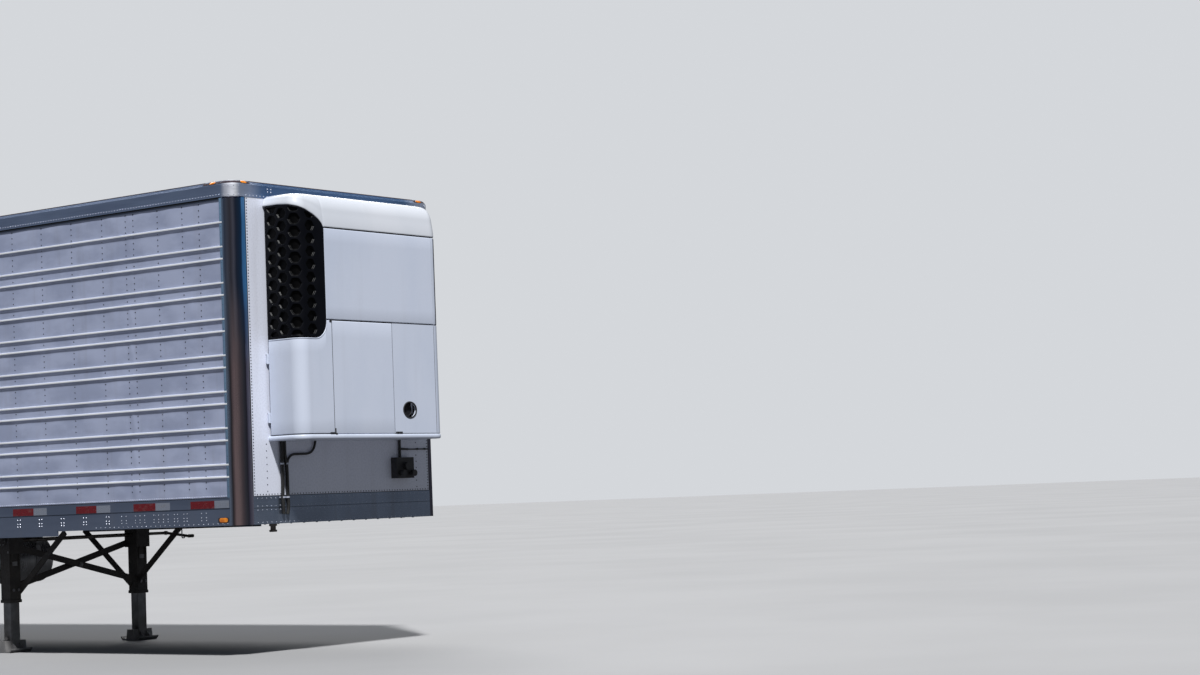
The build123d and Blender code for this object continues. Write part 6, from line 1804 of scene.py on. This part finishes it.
def build_stage(settings):
    """Floor, sky, lamps and the camera, which stands low beside the front of the trailer."""
    span = np.linspace(-1, 1, 3) * 300
    gx, gy = np.meshgrid(span, span, indexing="ij")
    points, quads = surface(np.stack([gx, gy, gx * 0 - 0.001], axis=-1))
    mesh = bpy.data.meshes.new("floor")
    mesh.from_pydata(points, [], quads)
    floor = link("floor", mesh)
    material = bpy.data.materials.new("floor_tone")
    material.use_nodes = True
    build = Tree(material.node_tree)
    shader = material.node_tree.nodes["Principled BSDF"]
    tone = build.blend(patches(build, (0.2, 0.2, 1), 4.0, 0.3, 0.7), (0.36, 0.36, 0.365, 1),
        (0.33, 0.33, 0.335, 1))
    seen = build.add("LightPath").outputs["Is Camera Ray"]
    build.set(shader.inputs["Base Color"], build.blend(seen, (0.1, 0.1, 0.105, 1), tone))
    shader.inputs["Roughness"].default_value = 0.9
    floor.data.materials.append(material)

    world = bpy.data.worlds.new("studio")
    bpy.context.scene.world = world
    world.use_nodes = True
    build = Tree(world.node_tree)
    sky = world.node_tree.nodes["Background"]
    sky.inputs["Color"].default_value = (0.74, 0.84, 1.0, 1)
    sky.inputs["Strength"].default_value = settings.sky
    plain = build.add("Background", {"Color": (0.66, 0.68, 0.71, 1), "Strength": 1.0})
    path = build.add("LightPath")
    seen = build.add("MixShader", {0: path.outputs["Is Camera Ray"]})
    build.set(seen.inputs[1], sky.outputs[0])
    build.set(seen.inputs[2], plain.outputs[0])
    build.set(world.node_tree.nodes["World Output"].inputs["Surface"], seen.outputs[0])

    for name, toward, angle, power in (
        ("key", (1.0, -0.8, 1.95), 4, settings.key),
        ("back", (-1.0, 0.95, 1.1), 30, settings.back),
    ):
        lamp = bpy.data.lights.new(name, "SUN")
        lamp.angle = radians(angle)
        lamp.energy = power
        link(name, lamp).rotation_euler = Vector(toward).to_track_quat("Z", "Y").to_euler()

    azimuth, lift, roll = radians(126.878), radians(3.7953), radians(-2.2895)
    ahead = Vector((cos(lift) * cos(azimuth), cos(lift) * sin(azimuth), sin(lift)))
    right = ahead.cross(Vector((0, 0, 1))).normalized()
    up = right.cross(ahead)
    right, up = cos(roll) * right + sin(roll) * up, cos(roll) * up - sin(roll) * right
    matrix = Matrix((right, up, -ahead)).transposed().to_4x4()
    matrix.translation = (NOSE + 14.3706, -15.2742, 1.2993)
    camera = bpy.data.cameras.new("camera")
    camera.sensor_width = 36
    camera.lens = 2329.42 / 1200 * 36
    camera.clip_end = 1000
    view = link("camera", camera)
    view.matrix_world = matrix
    bpy.context.scene.camera = view
    bpy.context.scene.view_settings.view_transform = "Standard"


# Addon


class TrailerSheetSettings(bpy.types.PropertyGroup):
    """Sizes of the riveted side sheets."""
    quilt: FloatProperty(name="Quilt height", description="Swelling of the sheet between rivet lines",
        default=0.005, unit="LENGTH")


class TrailerUnitSettings(bpy.types.PropertyGroup):
    """Sizes of the cooling unit's panels."""
    cell_depth: FloatProperty(name="Cell depth", description="Depth of the grille's hollow cells",
        default=0.0185, unit="LENGTH")


class TrailerStageSettings(bpy.types.PropertyGroup):
    """Strength of the lamps and the sky."""
    key: FloatProperty(name="Key power", description="Power of the main lamp", default=4.6)
    back: FloatProperty(name="Back power", description="Power of the soft lamp behind", default=1.3)
    sky: FloatProperty(name="Sky strength", description="Light from all round", default=0.15)


class TRAILER_OT_finishes(bpy.types.Operator):
    """Make the finishes and give one to each CAD piece"""
    bl_idname = "trailer.finishes"
    bl_label = "Finishes"

    def execute(self, context):
        make_groups()
        for name, row in FINISHES.items():
            build_finish(name, row)
        build_lens("amber_lens", (0.85, 0.28, 0.02), (0.55, 0.14, 0.01))
        build_lens("red_lens", (0.5, 0.015, 0.012), (0.3, 0.008, 0.008))
        build_tape("tape_red", (0.21, 0.004, 0.01), (0.09, 0.002, 0.005))
        build_tape("tape_white", (0.25, 0.275, 0.335), (0.18, 0.2, 0.25))
        for finish, nodes in NODE_FINISH.items():
            for node in nodes:
                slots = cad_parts[node].material_slots
                for slot in slots:
                    slot.material = finish_of(finish)
        return {"FINISHED"}


class TRAILER_OT_sheets(bpy.types.Operator):
    """Build the side sheets with their rivets, the rail rivets and the tape"""
    bl_idname = "trailer.sheets"
    bl_label = "Side sheets"

    def execute(self, context):
        build_side_sheets(context.scene.trailer_sheets)
        build_rail_details()
        return {"FINISHED"}


class TRAILER_OT_unit(bpy.types.Operator):
    """Build the cooling unit's panels, grilles, cap and tray"""
    bl_idname = "trailer.unit"
    bl_label = "Cooling unit"

    def execute(self, context):
        settings = context.scene.trailer_unit
        build_unit_panels(settings)
        build_unit_seals()
        build_unit_cap()
        build_tray()
        build_unit_fittings()
        return {"FINISHED"}


class TRAILER_OT_front(bpy.types.Operator):
    """Build the rivets, seams, lamps and lines of the front wall"""
    bl_idname = "trailer.front"
    bl_label = "Front wall"

    def execute(self, context):
        build_front_wall()
        build_roof_edge()
        build_marker_lamps()
        build_front_lines()
        return {"FINISHED"}


class TRAILER_OT_wheels(bpy.types.Operator):
    """Build the treaded tyres, wheel nuts, hub caps and valves"""
    bl_idname = "trailer.wheels"
    bl_label = "Wheels"

    def execute(self, context):
        build_wheels()
        return {"FINISHED"}


class TRAILER_OT_under(bpy.types.Operator):
    """Build the landing gear's, suspension's and tanks' fittings and the lines under the floor"""
    bl_idname = "trailer.under"
    bl_label = "Underside"

    def execute(self, context):
        build_landing()
        build_suspension()
        build_under_lines()
        return {"FINISHED"}


class TRAILER_OT_rear(bpy.types.Operator):
    """Build the rear doors' and frame's fittings, the lamps and the guard's tape"""
    bl_idname = "trailer.rear"
    bl_label = "Rear"

    def execute(self, context):
        build_rear_doors()
        build_rear_frame()
        return {"FINISHED"}


class TRAILER_OT_body(bpy.types.Operator):
    """Build the inside's liner fittings and the roof's ridges and rivets"""
    bl_idname = "trailer.body"
    bl_label = "Inside and roof"

    def execute(self, context):
        build_interior()
        build_roof()
        return {"FINISHED"}


class TRAILER_OT_stage(bpy.types.Operator):
    """Set the floor, lamps and camera"""
    bl_idname = "trailer.stage"
    bl_label = "Stage"

    def execute(self, context):
        build_stage(context.scene.trailer_stage)
        return {"FINISHED"}


OPERATORS = (
    TRAILER_OT_finishes, TRAILER_OT_sheets, TRAILER_OT_unit, TRAILER_OT_front, TRAILER_OT_wheels,
    TRAILER_OT_under, TRAILER_OT_rear, TRAILER_OT_body, TRAILER_OT_stage,
)


class TRAILER_PT_panel(bpy.types.Panel):
    """Sidebar panel with the settings and a button for each group of pieces"""
    bl_idname = "TRAILER_PT_panel"
    bl_label = "Semi Trailer"
    bl_space_type = "VIEW_3D"
    bl_region_type = "UI"
    bl_category = "Trailer"

    def draw(self, context):
        for group in SETTINGS:
            settings = getattr(context.scene, group)
            for key in settings.__annotations__:
                self.layout.prop(settings, key)
        for operator in OPERATORS:
            self.layout.operator(operator.bl_idname)


SETTINGS = {
    "trailer_sheets": TrailerSheetSettings,
    "trailer_unit": TrailerUnitSettings,
    "trailer_stage": TrailerStageSettings,
}
CLASSES = (*SETTINGS.values(), *OPERATORS, TRAILER_PT_panel)


def register():
    for entry in CLASSES:
        bpy.utils.register_class(entry)
    for name, group in SETTINGS.items():
        setattr(bpy.types.Scene, name, PointerProperty(type=group))


def unregister():
    for name in SETTINGS:
        delattr(bpy.types.Scene, name)
    for entry in reversed(CLASSES):
        bpy.utils.unregister_class(entry)


def main():
    """Registers the add-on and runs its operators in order."""
    register()
    for operator in OPERATORS:
        family, name = operator.bl_idname.split(".")
        getattr(getattr(bpy.ops, family), name)()


if __name__ == "__main__":
    main()
